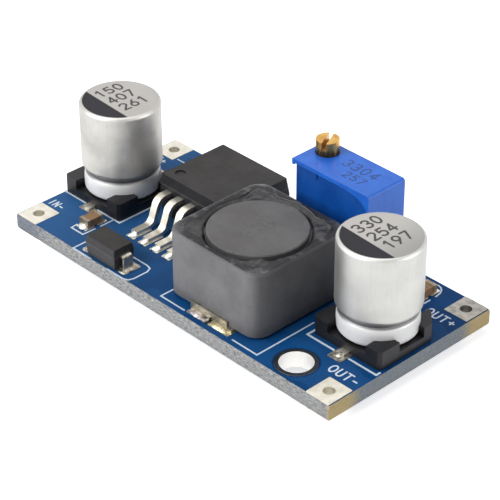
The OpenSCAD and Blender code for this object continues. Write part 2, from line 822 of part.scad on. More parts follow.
// Collector ring and the resistive arc round it.
module trimmer_tracks()
    color([0.12, 0.12, 0.12]) on_trimmer() translate([gear_u, element_v, gear_w]) rotate([90, 0, 0])
        linear_extrude(track_t) {
            ring2d(button_at + collector_r, button_at - collector_r);
            difference() {
                ring2d(wiper_r + track_r, wiper_r - track_r);
                polygon([[0, 0], for (s = [-1, 1]) 2 * wiper_r * [s * sin(track_gap), -cos(track_gap)]]);
            }
        }

module ring2d(ro, ri) difference() {
    circle(ro);
    circle(ri);
}

// Toothed wheel, its rim a wave of gear_teeth teeth, with a hollow hub.
module trimmer_rotor()
    color([0.92, 0.9, 0.84]) on_trimmer() translate([gear_u, screw_v, gear_w]) rotate([90, 0, 0])
        difference() {
        union() {
            translate([0, 0, -gear_t / 2]) linear_extrude(gear_t) polygon([
                for (i = [0:8 * gear_teeth - 1]) let(a = 180 + 360 * i / (8 * gear_teeth))
                    (gear_r - thread_e * cos(360 * i / 8)) * [cos(a), sin(a)]
            ]);
            cylinder(h = screw_v - cavity_front - run_gap, r = hub_r);
        }
        translate([0, 0, -gear_t]) cylinder(h = gear_t + trim_d, r = axle_r + run_gap);
    }

// Sprung contact on the wheel: a ring and an arm that reaches the track.
module trimmer_wiper()
    color([0.85, 0.68, 0.35]) on_trimmer() translate([gear_u, screw_v + gear_t / 2, gear_w])
        rotate([-90, 0, 0]) {
        reach = element_v - track_t - screw_v - gear_t / 2 - run_gap;
        difference() {
            union() {
                cylinder(h = wiper_t, r = wiper_hub_r);
                translate([-wiper_arm_r, -wiper_r, 0]) cube([2 * wiper_arm_r, wiper_r, wiper_t]);
                translate([0, -wiper_r, 0]) cylinder(h = reach, r = wiper_arm_r);
                translate([0, button_at, 0]) cylinder(h = reach, r = button_r);
            }
            translate([0, 0, -over]) cylinder(h = reach + 2 * over, r = axle_r + run_gap);
        }
    }

// Adjusting screw: slotted head, neck, collar and worm thread on one spindle.
module trimmer_screw()
    color([0.75, 0.55, 0.25]) on_trimmer() translate([screw_u, screw_v, 0]) difference() {
        union() {
            translate([0, 0, cavity_top + inner_play])
                cylinder(h = wall_top + screw_h - inner_play, r = screw_d / 2);
            translate([0, 0, neck_w]) cylinder(h = cavity_top + wall_top / 4 - neck_w, r = neck_r);
            translate([0, 0, collar_w]) cylinder(h = collar_h, r = collar_r);
            translate([0, 0, spindle_w]) cylinder(h = plate_top - spindle_w, r = journal_r);
            worm();
        }
        translate([0, 0, trim_h + screw_h - slot_d]) rotate([0, 0, slot_turn])
            translate([-slot_w / 2, -screw_d, 0]) cube([slot_w, 2 * screw_d, slot_d + over]);
        // groove for the seal ring
        translate([0, 0, cavity_top + wall_top / 2]) rotate_extrude()
            translate([ring_r, 0]) circle(ring_minor);
    }

// Single-start thread: a round section set off-centre and turned as it climbs.
module worm()
    translate([0, 0, gear_w - worm_h / 2])
        linear_extrude(height = worm_h, twist = -360 * thread_turns, slices = 16 * thread_turns, $fn = 16)
            rotate([0, 0, -180 * thread_turns]) translate([thread_e, 0]) circle(thread_r);

module trimmer_seal_ring()
    color([0.1, 0.1, 0.1]) on_trimmer() translate([screw_u, screw_v, cavity_top + wall_top / 2])
        rotate_extrude() translate([ring_r, 0]) circle(ring_minor);

// Slotted plate that keeps the screw from lifting out.
module trimmer_retainer()
    color([0.75, 0.75, 0.76]) on_trimmer() difference() {
        translate([lip_over + wall_end - clip_plate_in, cavity_front + clip_plate_front,
            plate_top - clip_plate_t])
            cube([clip_plate_l, cavity_back - cavity_front - clip_plate_front, clip_plate_t]);
        translate([screw_u, screw_v, 0]) cylinder(h = trim_h, r = neck_r + run_gap);
        translate([screw_u - neck_r - run_gap, screw_v, 0]) cube([2 * (neck_r + run_gap), trim_d, trim_h]);
    }

module trimmer_potting()
    color([0.12, 0.3, 0.62]) on_trimmer() difference() {
        translate([lip_over + wall_end, cavity_front, foot_h])
            cube([trim_w - lip_over - wall_end - wall_far, cavity_back - cavity_front, potting_t]);
        for (i = [-1:1]) translate([pin_u(i), pin_v, 0]) cylinder(h = cavity_floor + over, d = pin_d);
    }

// Round pin with a flat flag soldered to the foot of the element.
module pin(i)
    color([0.8, 0.79, 0.75]) on_trimmer() translate([pin_u(i), 0, 0]) {
        translate([0, pin_v, -board_t - pin_out]) cylinder(h = board_t + pin_out + pin_top, d = pin_d);
        translate([-pin_flag_w / 2, element_v - pin_flag_t, cavity_floor + eps])
            cube([pin_flag_w, pin_flag_t, pin_flag_h]);
    }

module trimmer_pin_1() pin(-1);
module trimmer_pin_2() pin(0);
module trimmer_pin_3() pin(1);

// Solder that fills each pin's hole and rises below the board to a hollow cone.
module trimmer_solder()
    color([0.78, 0.78, 0.76]) on_trimmer() for (i = [-1:1]) translate([pin_u(i), pin_v, -board_t])
        rotate_extrude()
        polygon(concat(
            [[pin_d / 2, board_t]],
            [for (t = [1:-0.2:0]) [pin_d / 2 + (solder_r - pin_d / 2) * (1 - t) ^ 3, -solder_h * t]],
            [[pin_hole_r, 0], [pin_hole_r, board_t]]
        ));

board();
wire_land_in_minus();
wire_land_in_plus();
wire_land_out_minus();
wire_land_out_plus();
mounting_ring_front();
mounting_ring_back();
capacitor_lands();
regulator_lands();
inductor_lands();
diode_lands();
chip_lands();
input_can();
input_base();
input_terminal_minus();
input_terminal_plus();
output_can();
output_base();
output_terminal_minus();
output_terminal_plus();
regulator_body();
regulator_tab();
regulator_lead_1();
regulator_lead_2();
regulator_lead_4();
regulator_lead_5();
inductor_shield();
inductor_core();
inductor_winding();
inductor_glue();
inductor_clip_front();
inductor_clip_back();
diode_body();
diode_strap_cathode();
diode_strap_anode();
input_chip();
input_chip_ends();
output_chip();
output_chip_ends();
trimmer_housing();
trimmer_cover();
trimmer_element();
trimmer_tracks();
trimmer_rotor();
trimmer_wiper();
trimmer_screw();
trimmer_seal_ring();
trimmer_retainer();
trimmer_potting();
trimmer_pin_1();
trimmer_pin_2();
trimmer_pin_3();
trimmer_solder();
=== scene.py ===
# %% [markdown]
# # An adjustable step-down converter board
# The object is a blue circuit board 43 mm long. It carries two aluminium
# capacitor cans, a ferrite inductor, a flat regulator with bent leads, a diode,
# two chip capacitors and a blue trimmer with a brass screw. The rigid shapes
# come packed as a fixed frame. This lesson gives them their finishes and adds
# what a solid model leaves out: solder, print, glue and worn metal.

# %% Load the frame
import math

import bmesh
import bpy
import numpy as np
from mathutils import Matrix, Vector


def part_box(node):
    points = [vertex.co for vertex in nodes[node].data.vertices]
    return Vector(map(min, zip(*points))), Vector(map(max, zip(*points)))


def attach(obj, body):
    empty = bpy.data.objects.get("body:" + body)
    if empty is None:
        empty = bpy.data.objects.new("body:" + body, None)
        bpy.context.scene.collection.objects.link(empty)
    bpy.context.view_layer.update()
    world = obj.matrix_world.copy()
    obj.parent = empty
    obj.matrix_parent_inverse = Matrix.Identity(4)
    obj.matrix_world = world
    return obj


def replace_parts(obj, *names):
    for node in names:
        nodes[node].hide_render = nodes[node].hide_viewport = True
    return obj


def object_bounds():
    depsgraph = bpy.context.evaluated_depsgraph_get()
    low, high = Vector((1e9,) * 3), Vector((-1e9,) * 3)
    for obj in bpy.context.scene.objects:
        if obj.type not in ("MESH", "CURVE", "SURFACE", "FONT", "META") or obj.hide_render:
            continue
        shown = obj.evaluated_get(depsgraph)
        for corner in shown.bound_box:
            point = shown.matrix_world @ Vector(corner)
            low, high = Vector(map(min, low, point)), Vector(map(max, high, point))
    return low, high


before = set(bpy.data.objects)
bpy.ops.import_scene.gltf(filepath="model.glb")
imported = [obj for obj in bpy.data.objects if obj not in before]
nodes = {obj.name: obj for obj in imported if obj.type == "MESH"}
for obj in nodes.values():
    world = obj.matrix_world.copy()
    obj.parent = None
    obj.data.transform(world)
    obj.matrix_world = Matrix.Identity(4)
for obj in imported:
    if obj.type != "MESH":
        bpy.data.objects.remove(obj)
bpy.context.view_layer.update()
MM = 0.001
BODY = "module"


def box_mm(node):
    """Lowest and highest corner of a CAD node, as two arrays in millimetres."""
    low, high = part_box(node)
    return np.array(low) / MM, np.array(high) / MM


def middle(node):
    """Centre of a CAD node's box, in millimetres."""
    return sum(box_mm(node)) / 2


board_low, board_high = box_mm("board")
BOARD_TOP = board_high[2]
print("board", np.round(board_high - board_low, 2))

# %% [markdown]
# ## Shader sums written as plain Python
# A finish is a tree of nodes, and most of it is arithmetic: a mask here, a bit
# of noise there. Wiring each Math node by hand hides the formula. Here a small
# class wraps a socket, so that `1 - mask * 0.3` adds its own nodes.


# %% Sums on sockets
class Value:
    """A number that a node puts out. Sums on it add Math nodes to its tree."""

    def __init__(self, finish, socket):
        self.finish, self.socket = finish, socket

    def math(self, operation, *others):
        return self.finish.add("ShaderNodeMath", {"operation": operation},
                               dict(enumerate((self,) + others)))

    def __add__(self, other):
        return self.math("ADD", other)

    def __mul__(self, other):
        return self.math("MULTIPLY", other)

    def __sub__(self, other):
        return self.math("SUBTRACT", other)

    def __rsub__(self, other):
        return (self * -1) + other

    def __abs__(self):
        return self.math("ABSOLUTE")

    __radd__ = __add__
    __rmul__ = __mul__

    def most(self, other):
        return self.math("MAXIMUM", other)

    def step(self, low, high):
        """0 below low, 1 above high, and a smooth rise between them."""
        return self.finish.add("ShaderNodeMapRange",
                               {"interpolation_type": "SMOOTHSTEP"},
                               {"Value": self, "From Min": low, "From Max": high})


class Finish:
    """One material. Its patterns read Object coordinates in millimetres."""

    def __init__(self, name):
        self.material = bpy.data.materials.new(name)
        self.material.use_nodes = True
        self.tree = self.material.node_tree
        self.tree.nodes.clear()
        self.place = None

    def add(self, kind, settings=None, sockets=None, out=0):
        """A node of this kind: its settings first, then its sockets' values or links."""
        node = self.tree.nodes.new(kind)
        for key, value in (settings or {}).items():
            if key == "stops":
                ramp = node.color_ramp.elements
                while len(ramp) < len(value):
                    ramp.new(0.5)
                for element, (at, colour) in zip(ramp, value):
                    element.position, element.color = at, (*colour, 1)
            else:
                setattr(node, key, value)
        for key, value in (sockets or {}).items():
            if isinstance(value, Value):
                self.tree.links.new(value.socket, node.inputs[key])
            elif value is not None:
                node.inputs[key].default_value = value
        return Value(self, node.outputs[out])

    def where(self, centre=(0, 0, 0), turn=0):
        """Object coordinates in millimetres about centre, turned about Z by turn degrees."""
        spot = self.add("ShaderNodeTexCoord", out="Object")
        return self.add("ShaderNodeMapping", {"vector_type": "TEXTURE"}, {
            "Vector": spot, "Location": [c * MM for c in centre],
            "Rotation": (0, 0, math.radians(turn)), "Scale": (MM, MM, MM)})

    def xyz(self, where):
        split = self.add("ShaderNodeSeparateXYZ", {}, {"Vector": where}, out="X")
        outs = split.socket.node.outputs
        return [Value(self, outs[axis]) for axis in "XYZ"]

    def noise(self, where, scale, detail=2, rough=0.5):
        """Cloudy noise from 0 to 1, with `scale` waves in a millimetre."""
        return self.add("ShaderNodeTexNoise", {}, {
            "Vector": where, "Scale": scale, "Detail": detail, "Roughness": rough})

    def cells(self, where, scale):
        """Distance to the nearest of scattered points, `scale` of them in a millimetre."""
        return self.add("ShaderNodeTexVoronoi", {}, {"Vector": where, "Scale": scale})

    def stretched(self, where, along):
        """The same place with each axis multiplied, which draws a pattern out."""
        return self.add("ShaderNodeVectorMath", {"operation": "MULTIPLY"},
                        {0: where, 1: along})

    def from_axis(self, where):
        """Distance from the Z axis: the length of (x, y, 0)."""
        return self.add("ShaderNodeVectorMath", {"operation": "LENGTH"},
                        {0: self.stretched(where, (1, 1, 0))}, out="Value")

    def mix(self, share, first, second):
        """first where share is 0 and second where it is 1, both colours."""
        pair = {k: (*c, 1) if isinstance(c, tuple) else c for k, c in ((6, first), (7, second))}
        return self.add("ShaderNodeMix", {"data_type": "RGBA"}, {0: share, **pair}, out=2)

    def normal_z(self):
        """How far a face looks up: 1 on a top, 0 on a side, -1 underneath."""
        facing = self.add("ShaderNodeNewGeometry", out="Normal")
        return self.xyz(facing)[2]

    def close(self, colour, rough, metal=0.0, height=None, depth=0.02, **fixed):
        """Ends the tree in a Principled shader. height is 0 to 1 and depth its size in mm."""
        bumped = None
        if height is not None:
            bumped = self.add("ShaderNodeBump", {}, {
                "Height": height, "Distance": depth * MM, "Strength": 1.0})
        colour = (*colour, 1) if isinstance(colour, tuple) else colour
        shader = self.add("ShaderNodeBsdfPrincipled", {}, {
            "Base Color": colour, "Roughness": rough, "Metallic": metal, "Normal": bumped,
            **{key.replace("_", " "): value for key, value in fixed.items()}})
        self.add_output(shader)
        return self.material

    def add_output(self, shader):
        end = self.tree.nodes.new("ShaderNodeOutputMaterial")
        self.tree.links.new(shader.socket, end.inputs["Surface"])


def wear(node_names, material):
    """Gives CAD nodes a finish through their material slots."""
    for name in node_names.split():
        for slot in nodes[name].material_slots:
            slot.material = material


print("sums ready")

# %% [markdown]
# ## Surfaces from grids
# Each new piece is a sheet of points worked out from two numbers, like a map
# wrapped on a shape. Doing it with whole arrays is quick, and the formula stays
# in one line. A closed piece then has its poles merged and its faces turned out.


# %% Mesh helpers
def make_piece(name, points, faces, material, slot, weld=True, smooth=True, body=BODY):
    """A mesh object from points in millimetres. Its place is in its mesh."""
    mesh = bpy.data.meshes.new(name)
    mesh.from_pydata((np.asarray(points) * MM).tolist(), [], np.asarray(faces).tolist())
    if weld:
        shape = bmesh.new()
        shape.from_mesh(mesh)
        bmesh.ops.remove_doubles(shape, verts=shape.verts, dist=1e-7)
        bmesh.ops.dissolve_degenerate(shape, edges=shape.edges, dist=1e-8)
        bmesh.ops.recalc_face_normals(shape, faces=shape.faces)
        shape.to_mesh(mesh)
        shape.free()
    mesh.polygons.foreach_set("use_smooth", [smooth] * len(mesh.polygons))
    mesh.materials.append(material)
    thing = bpy.data.objects.new(name, mesh)
    bpy.context.scene.collection.objects.link(thing)
    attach(thing, body)
    print(name, len(mesh.polygons), "faces")
    return thing


def grid_faces(rows, columns):
    """Quads of a sheet whose columns run round and close. Point (i, j) is number
    i * columns + j, and each quad is (i, j), (i, j+1), (i+1, j+1), (i+1, j)."""
    i, j = np.meshgrid(np.arange(rows - 1), np.arange(columns), indexing="ij")
    near, far = i * columns + j, i * columns + (j + 1) % columns
    return np.stack([near, far, far + columns, near + columns], -1).reshape(-1, 4)


def rings(radius, height, turn):
    """Points of a sheet round Z: x = r cos a, y = r sin a, z = h. radius and height
    are tables with a row for each ring and a column for each angle in turn."""
    r, h, a = np.broadcast_arrays(radius, height, turn)
    return np.stack([r * np.cos(a), r * np.sin(a), h], -1).reshape(-1, 3)


def around(count):
    return np.arange(count) * 2 * math.pi / count


def arc(centre, radius, start, end, count=7):
    """Points of a flat arc, c + r (cos a, sin a), with angles in degrees."""
    a = np.radians(np.linspace(start, end, count))
    return np.array(centre) + radius * np.stack([np.cos(a), np.sin(a)], -1)


def lathe(name, profile, centre, material, slot, count=96):
    """Turns a profile of (radius, height) points about a vertical line."""
    profile = np.asarray(profile, float)
    points = rings(profile[:, :1], profile[:, 1:], around(count)) + np.array([*centre, 0])
    return make_piece(name, points, grid_faces(len(profile), count), material, slot)


def rounded_square(half, radius, turn):
    """Distance from the centre to a rounded square at each angle. On a flat side it
    is half / max(|cos|, |sin|). On a corner it solves |t u - k| = radius, where
    k is the corner circle's centre."""
    c, s = np.abs(np.cos(turn)), np.abs(np.sin(turn))
    flat = half / np.maximum(c, s)
    k = half - radius
    under = np.maximum(k * k * ((c + s) ** 2 - 2) + radius * radius, 0)
    on_corner = np.minimum(c, s) * flat > k
    return np.where(on_corner, k * (c + s) + np.sqrt(under), flat)


def ripple(x, y, seed, waves=6, longest=2.0):
    """Smooth uneven height: a sum of sines of random direction and phase, in -1 to 1."""
    draw = np.random.default_rng(seed)
    total = np.zeros(np.broadcast(x, y).shape)
    for n in range(waves):
        angle, phase = draw.uniform(0, 2 * math.pi, 2)
        length = longest / (1 + 0.7 * n)
        total += np.sin((x * math.cos(angle) + y * math.sin(angle)) * 2 * math.pi / length + phase)
    return total / waves


print("helpers ready")

# %% [markdown]
# ## The board
# The board is woven glass in epoxy, with copper tracks under a glossy blue
# mask. Only its faces are blue: where the panel was scored and snapped, the
# edge shows pale glass fibres. One material does both, and tells the edge from
# the faces by the way a face looks. Fibres are noise drawn out along the board.

# %% Board finish
mask = Finish("solder_mask")
spot = mask.where()
x, y, z = mask.xyz(spot)
facing_up = abs(mask.normal_z())
edge = 1 - facing_up.step(0.35, 0.6)
cloud = mask.noise(spot, 0.22, 3)
grain = mask.noise(spot, 3.2, 3, 0.6)
copper = mask.noise(mask.stretched(spot, (0.16, 0.3, 0.1)), 1.0, 1).step(0.49, 0.51)
blue = mask.mix(cloud.step(0.3, 0.75), (0.003, 0.050, 0.170), (0.007, 0.082, 0.265))
# Painted sheen: the mask is painted a lighter blue towards the board's left end, as if it reflected a
# lamp there.
painted_sheen_end = 1 - x.step(-19.0, 4.0)
blue = mask.mix(painted_sheen_end * 0.5, blue, (0.055, 0.160, 0.345))
blue = mask.mix(copper * 0.35, blue, (0.018, 0.100, 0.290))
dust = mask.noise(spot, 9.0, 2).step(0.66, 0.8)
blue = mask.mix(dust * 0.25, blue, (0.10, 0.16, 0.30))
for hole in ("mounting_ring_front", "mounting_ring_back"):
    hole_at = mask.where((*middle(hole)[:2], 0))
    from_hole = mask.from_axis(hole_at)
    halo = 1 - (from_hole + grain * 0.25).step(2.12, 2.42)
    blue = mask.mix(halo * 0.8, blue, (0.003, 0.012, 0.035))
fibre = mask.noise(mask.stretched(spot, (1.0, 1.0, 5.0)), 2.0, 4, 0.75)
speck = mask.noise(spot, 6.5, 3, 0.7)
glass = mask.mix(fibre.step(0.32, 0.62), (0.15, 0.16, 0.18), (0.56, 0.56, 0.55))
glass = mask.mix(speck.step(0.55, 0.66) * 0.7, glass, (0.11, 0.12, 0.14))
left_end = (1 - x.step(-19.5, -16.0)) * 0.55
glass = mask.mix(left_end, glass, (0.13, 0.17, 0.25))
at_out = x.step(board_high[0] - 0.35, board_high[0] - 0.1)
corner = abs(y).step(6.2, 8.4)
resin = mask.mix(corner, (0.24, 0.28, 0.33), (0.62, 0.47, 0.20))
resin = mask.mix(speck.step(0.45, 0.75) * 0.5, resin, (0.70, 0.66, 0.52))
glass = mask.mix(at_out * 0.85, glass, resin)
chipped = 1 - (y - board_low[1] - speck * 0.3).step(-0.06, 0.04)
edge = edge.most(chipped * 0.75)
web = 1 - abs(z - BOARD_TOP / 2).step(0.25, 0.55)
relief = copper * 0.25 * facing_up + edge * (speck * 0.8 + fibre * 0.9 + web * 0.5) + grain * 0.05
wear("board", mask.close(
    mask.mix(edge, blue, glass), 0.34 + cloud * 0.08 + edge * 0.42, 0.0,
    relief, 0.05, Specular_IOR_Level=0.07))
print("board finished")

# %% [markdown]
# ## Tin, solder and plated metal
# Lands are copper dipped in tin: pale, slightly creamy, and never quite flat.
# Leads are brighter because they are rolled. Both are one metal shader, with
# different roughness and unevenness, so one function makes them all.


# %% Metal finishes
def metal(name, light, dark, rough, uneven=0.02, waves=1.2, lines=(1, 1, 1), tarnish=0.5):
    """A metal whose colour drifts between two tones, with soft dents and fine scratches."""
    finish = Finish(name)
    spot = finish.where()
    patch = finish.noise(spot, waves, 3)
    fine = finish.noise(finish.stretched(spot, lines), 7.0, 3, 0.65)
    colour = finish.mix((patch * 0.7 + fine * 0.3).step(0.35, 0.7) * tarnish, light, dark)
    return finish.close(colour, rough + patch * 0.14 + fine * 0.1, 1.0,
                        patch * 0.8 + fine * 0.25, uneven)


TIN = metal("tinned_land", (0.78, 0.75, 0.66), (0.50, 0.46, 0.38), 0.34, 0.05, 1.1)
LEAD = metal("tinned_lead", (0.84, 0.80, 0.71), (0.58, 0.53, 0.44), 0.24, 0.012, 1.5, (0.3, 0.3, 1))
SOLDER = metal("solder", (0.80, 0.79, 0.75), (0.50, 0.48, 0.44), 0.24, 0.06, 1.8)
FLUXED = metal("fluxed_solder", (0.52, 0.49, 0.43), (0.10, 0.085, 0.065), 0.30, 0.10, 2.6, tarnish=0.9)
CHIP_END = metal("chip_metal", (0.40, 0.33, 0.25), (0.20, 0.15, 0.10), 0.34, 0.02, 2.0, tarnish=0.8)

PLATE = metal("retainer_steel", (0.66, 0.66, 0.67), (0.42, 0.42, 0.44), 0.32, 0.01)
WIPER = metal("wiper_metal", (0.80, 0.60, 0.28), (0.5, 0.34, 0.14), 0.25, 0.01)
wear("wire_land_in_minus wire_land_in_plus wire_land_out_minus wire_land_out_plus "
     "regulator_lands chip_lands", TIN)
wear("capacitor_lands diode_lands", FLUXED)
STRAP = metal("strap_tin", (0.66, 0.63, 0.56), (0.24, 0.21, 0.16), 0.22, 0.06, 1.6, tarnish=0.8)
wear("diode_strap_cathode diode_strap_anode", STRAP)

wear("input_terminal_minus input_terminal_plus output_terminal_minus output_terminal_plus "
     "regulator_lead_1 regulator_lead_2 regulator_lead_4 regulator_lead_5 regulator_tab "
     "trimmer_pin_1 trimmer_pin_2 trimmer_pin_3", LEAD)
wear("trimmer_solder", SOLDER)
wear("input_chip_ends output_chip_ends", CHIP_END)
wear("trimmer_retainer", PLATE)
wear("trimmer_wiper", WIPER)

# %% [markdown]
# ### Plated holes
# The plating of a mounting hole is bright inside, where nothing rubs it. On the
# face it is covered with old flux, so it looks nearly black. The finish tells
# the two apart by the way they face.

# %% Plated ring
ring = Finish("plated_ring")
spot = ring.where()
up = abs(ring.normal_z()).step(0.5, 0.8)
stain = ring.noise(spot, 2.6, 3, 0.6)
old = ring.mix(stain.step(0.62, 0.8), (0.012, 0.016, 0.022), (0.16, 0.17, 0.18))
RING = ring.close(ring.mix(up, (0.88, 0.87, 0.85), old), 0.30 + stain * 0.15, 1 - up * 0.8, stain, 0.03)
wear("mounting_ring_front mounting_ring_back", RING)

# %% [markdown]
# ### The tired land
# One of the four wire lands has been soldered to before, so its tin is thin and
# dark. It shares the metal recipe and differs in its two tones.

# %% Output land
wear("wire_land_out_plus", metal("tired_land", (0.42, 0.40, 0.36), (0.12, 0.12, 0.11), 0.34, 0.08, 1.2,
                                 tarnish=0.7))
print("metals finished")

# %% [markdown]
# ## Moulded plastic and ceramics
# Black epoxy is grey where light grazes it and full of fine pits from the
# mould. A blaster or a laser leaves a soft bloom on top. The shade follows
# noise at two scales: one as wide as a thumb print, one as fine as the grain.


# %% Plastic finishes
def moulded(name, dark, light, rough, grain=8.0, depth=0.008, bloom=0.3, **fixed):
    """A moulded finish: a cloud of slightly lighter tone, fine pits and dull specks."""
    finish = Finish(name)
    spot = finish.where()
    cloud = finish.noise(spot, 0.45, 3)
    pits = finish.noise(spot, grain, 3, 0.6)
    colour = finish.mix(cloud.step(0.35, 0.75) * bloom + pits.step(0.55, 0.75) * 0.25, dark, light)
    return finish.close(colour, rough + pits * 0.16 - cloud * 0.08, 0.0, pits, depth, **fixed)


BLACK = moulded("black_base", (0.006, 0.006, 0.008), (0.022, 0.022, 0.026), 0.40,
                Specular_IOR_Level=0.35)
CERAMIC = moulded("element_ceramic", (0.80, 0.79, 0.74), (0.9, 0.89, 0.85), 0.5)
TRACK = moulded("cermet_track", (0.02, 0.02, 0.02), (0.05, 0.05, 0.05), 0.4)
CREAM = moulded("wheel_plastic", (0.80, 0.77, 0.68), (0.88, 0.86, 0.80), 0.4)
BROWN = moulded("chip_ceramic", (0.25, 0.13, 0.05), (0.42, 0.26, 0.12), 0.38, 12.0, 0.006)
RUBBER = moulded("seal_rubber", (0.012, 0.012, 0.012), (0.03, 0.03, 0.03), 0.6)
POTTING = moulded("potting", (0.01, 0.07, 0.30), (0.03, 0.13, 0.42), 0.35, 2.0, 0.05)
WIRE = moulded("enamelled_wire", (0.36, 0.11, 0.03), (0.5, 0.2, 0.07), 0.25)
wear("input_base output_base", BLACK)
wear("trimmer_element", CERAMIC)
wear("trimmer_tracks", TRACK)
wear("trimmer_rotor", CREAM)
wear("input_chip output_chip", BROWN)
wear("trimmer_seal_ring", RUBBER)
wear("trimmer_potting", POTTING)
wear("inductor_winding", WIRE)
print("plastics finished")

# %% [markdown]
# ### Blasted tops
# The regulator and the diode come from polished moulds, but their tops are
# blasted so that ink holds. The tops are matt. Each body has a top tone and a
# side tone: on the regulator the lighter top and darker sides are painted light
# and shade, as if lit from above.
# The halves of the mould meet in a thin line round the diode's waist.

# %% Epoxy bodies


def epoxy(name, seam, lit_top_tone, shaded_side_tone, rough):
    """Black epoxy with a matt top and a faint line at height seam. The top takes a painted lighter tone
    and the sides a painted darker one, as if lit from above.
    """
    finish = Finish(name)
    spot = finish.where()
    x, y, z = finish.xyz(spot)
    up = finish.normal_z().step(0.8, 0.97)
    cloud = finish.noise(spot, 0.5, 3, 0.6)
    grain = finish.noise(spot, 9.0, 3, 0.7)
    scuff = finish.noise(finish.stretched(spot, (0.6, 2.5, 1)), 1.4, 4, 0.7).step(0.56, 0.74)
    line = 1 - abs(z - seam).step(0.02, 0.06)
    # Painted light and shade: the top takes the lighter tone and the sides the darker one, as if lit
    # from above.
    top = finish.mix(cloud.step(0.3, 0.7), tuple(c * 0.72 for c in lit_top_tone), lit_top_tone)
    top = finish.mix(scuff * 0.22, top, (0.10, 0.072, 0.052))
    side = finish.mix(cloud.step(0.35, 0.7) * 0.5, shaded_side_tone, tuple(c * 1.6 for c in shaded_side_tone))
    colour = finish.mix(up, side, top)
    colour = finish.mix(grain.step(0.6, 0.8) * 0.3, colour, (0.09, 0.09, 0.095))
    colour = finish.mix(line * 0.6, colour, (0.11, 0.11, 0.115))
    return finish.close(colour, rough + grain * 0.16 + up * 0.1, 0.0, grain * 0.7 + line, 0.012,
                        Specular_IOR_Level=0.26)


wear("regulator_body", epoxy("regulator_epoxy", 5.0, (0.050, 0.047, 0.046), (0.009, 0.009, 0.011), 0.46))
diode_seam = BOARD_TOP + 1.45
wear("diode_body", epoxy("diode_epoxy", diode_seam, (0.036, 0.034, 0.033), (0.036, 0.035, 0.038), 0.40))

# %% [markdown]
# ## Strokes for print
# Board print and ink are laid down as lines of one width with round ends, like
# a pen plotter's. A letter is therefore a list of lines, and each line becomes
# a low strip: two offset copies of its path, mitred at the bends.


# %% Stroke maker
def strip_mesh(path, width, z, thick):
    """Points and faces of one flat stroke. Each path point p gets p +- w/2 * m, where m
    is the mitred side direction, and the ends are rounded by three extra points."""
    path = np.asarray(path, float)
    step = np.diff(path, axis=0)
    step /= np.linalg.norm(step, axis=1, keepdims=True)
    before, after = np.vstack([step[:1], step]), np.vstack([step, step[-1:]])
    side = (before + after)[:, ::-1] * [-1, 1]
    side /= np.maximum(np.linalg.norm(side, axis=1, keepdims=True), 1e-9)
    lean = np.maximum((side * (before[:, ::-1] * [-1, 1])).sum(1, keepdims=True), 0.45)
    left, right = path + side * width / 2 / lean, path - side * width / 2 / lean
    cap = np.radians([90, 45, 0, -45, -90])[1:-1, None]

    def round_end(point, along):
        across = along[::-1] * [-1, 1]
        return point + width / 2 * (np.cos(cap) * along + np.sin(cap) * across)

    tip, tail = round_end(path[-1], step[-1]), round_end(path[0], -step[0])
    outline = np.vstack([left, tip, right[::-1], tail])
    count, half = len(outline), len(path)
    flat = np.hstack([outline, np.full((count, 1), z)])
    points = np.vstack([flat, flat + [0, 0, thick]])
    k = np.arange(half - 1)
    back = lambda n: half + 3 + (half - 1 - n)
    quads = np.stack([back(k), back(k + 1), k + 1, k], -1)
    ends = [[half - 1, half + 3, half + 2, half + 1, half],
            [back(0), 0, count - 1, count - 2, count - 3]]
    top = [list(q + count) for q in quads] + [[n + count for n in e][::-1] for e in ends]
    low = [list(q[::-1]) for q in quads] + ends
    rim = np.arange(count)
    walls = np.stack([rim, (rim + 1) % count, (rim + 1) % count + count, rim + count], -1)
    return points, [list(map(int, f)) for f in top + low + walls.tolist()]


def strokes(name, paths, width, z, material, thick=0.015, body=BODY):
    """One piece from many strokes at height z. Neighbours differ by a hair in height,
    so that crossing strokes don't share a face."""
    points, faces, base = [], [], 0
    for number, path in enumerate(paths):
        p, f = strip_mesh(path, width, z + number % 4 * 0.0015, thick)
        points.append(p)
        faces += [[n + base for n in face] for face in f]
        base += len(p)
    mesh_points = np.vstack(points)
    mesh = bpy.data.meshes.new(name)
    mesh.from_pydata((mesh_points * MM).tolist(), [], faces)
    shape = bmesh.new()
    shape.from_mesh(mesh)
    bmesh.ops.recalc_face_normals(shape, faces=shape.faces)
    shape.to_mesh(mesh)
    shape.free()
    mesh.materials.append(material)
    thing = bpy.data.objects.new(name, mesh)
    bpy.context.scene.collection.objects.link(thing)
    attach(thing, body)
    print(name, len(paths), "strokes")
    return thing


def bow(cx, cy, rx, ry, start, end, count=11):
    """Points on an ellipse, from one angle to another in degrees."""
    a = np.radians(np.linspace(start, end, count))
    return np.stack([cx + rx * np.cos(a), cy + ry * np.sin(a)], -1)


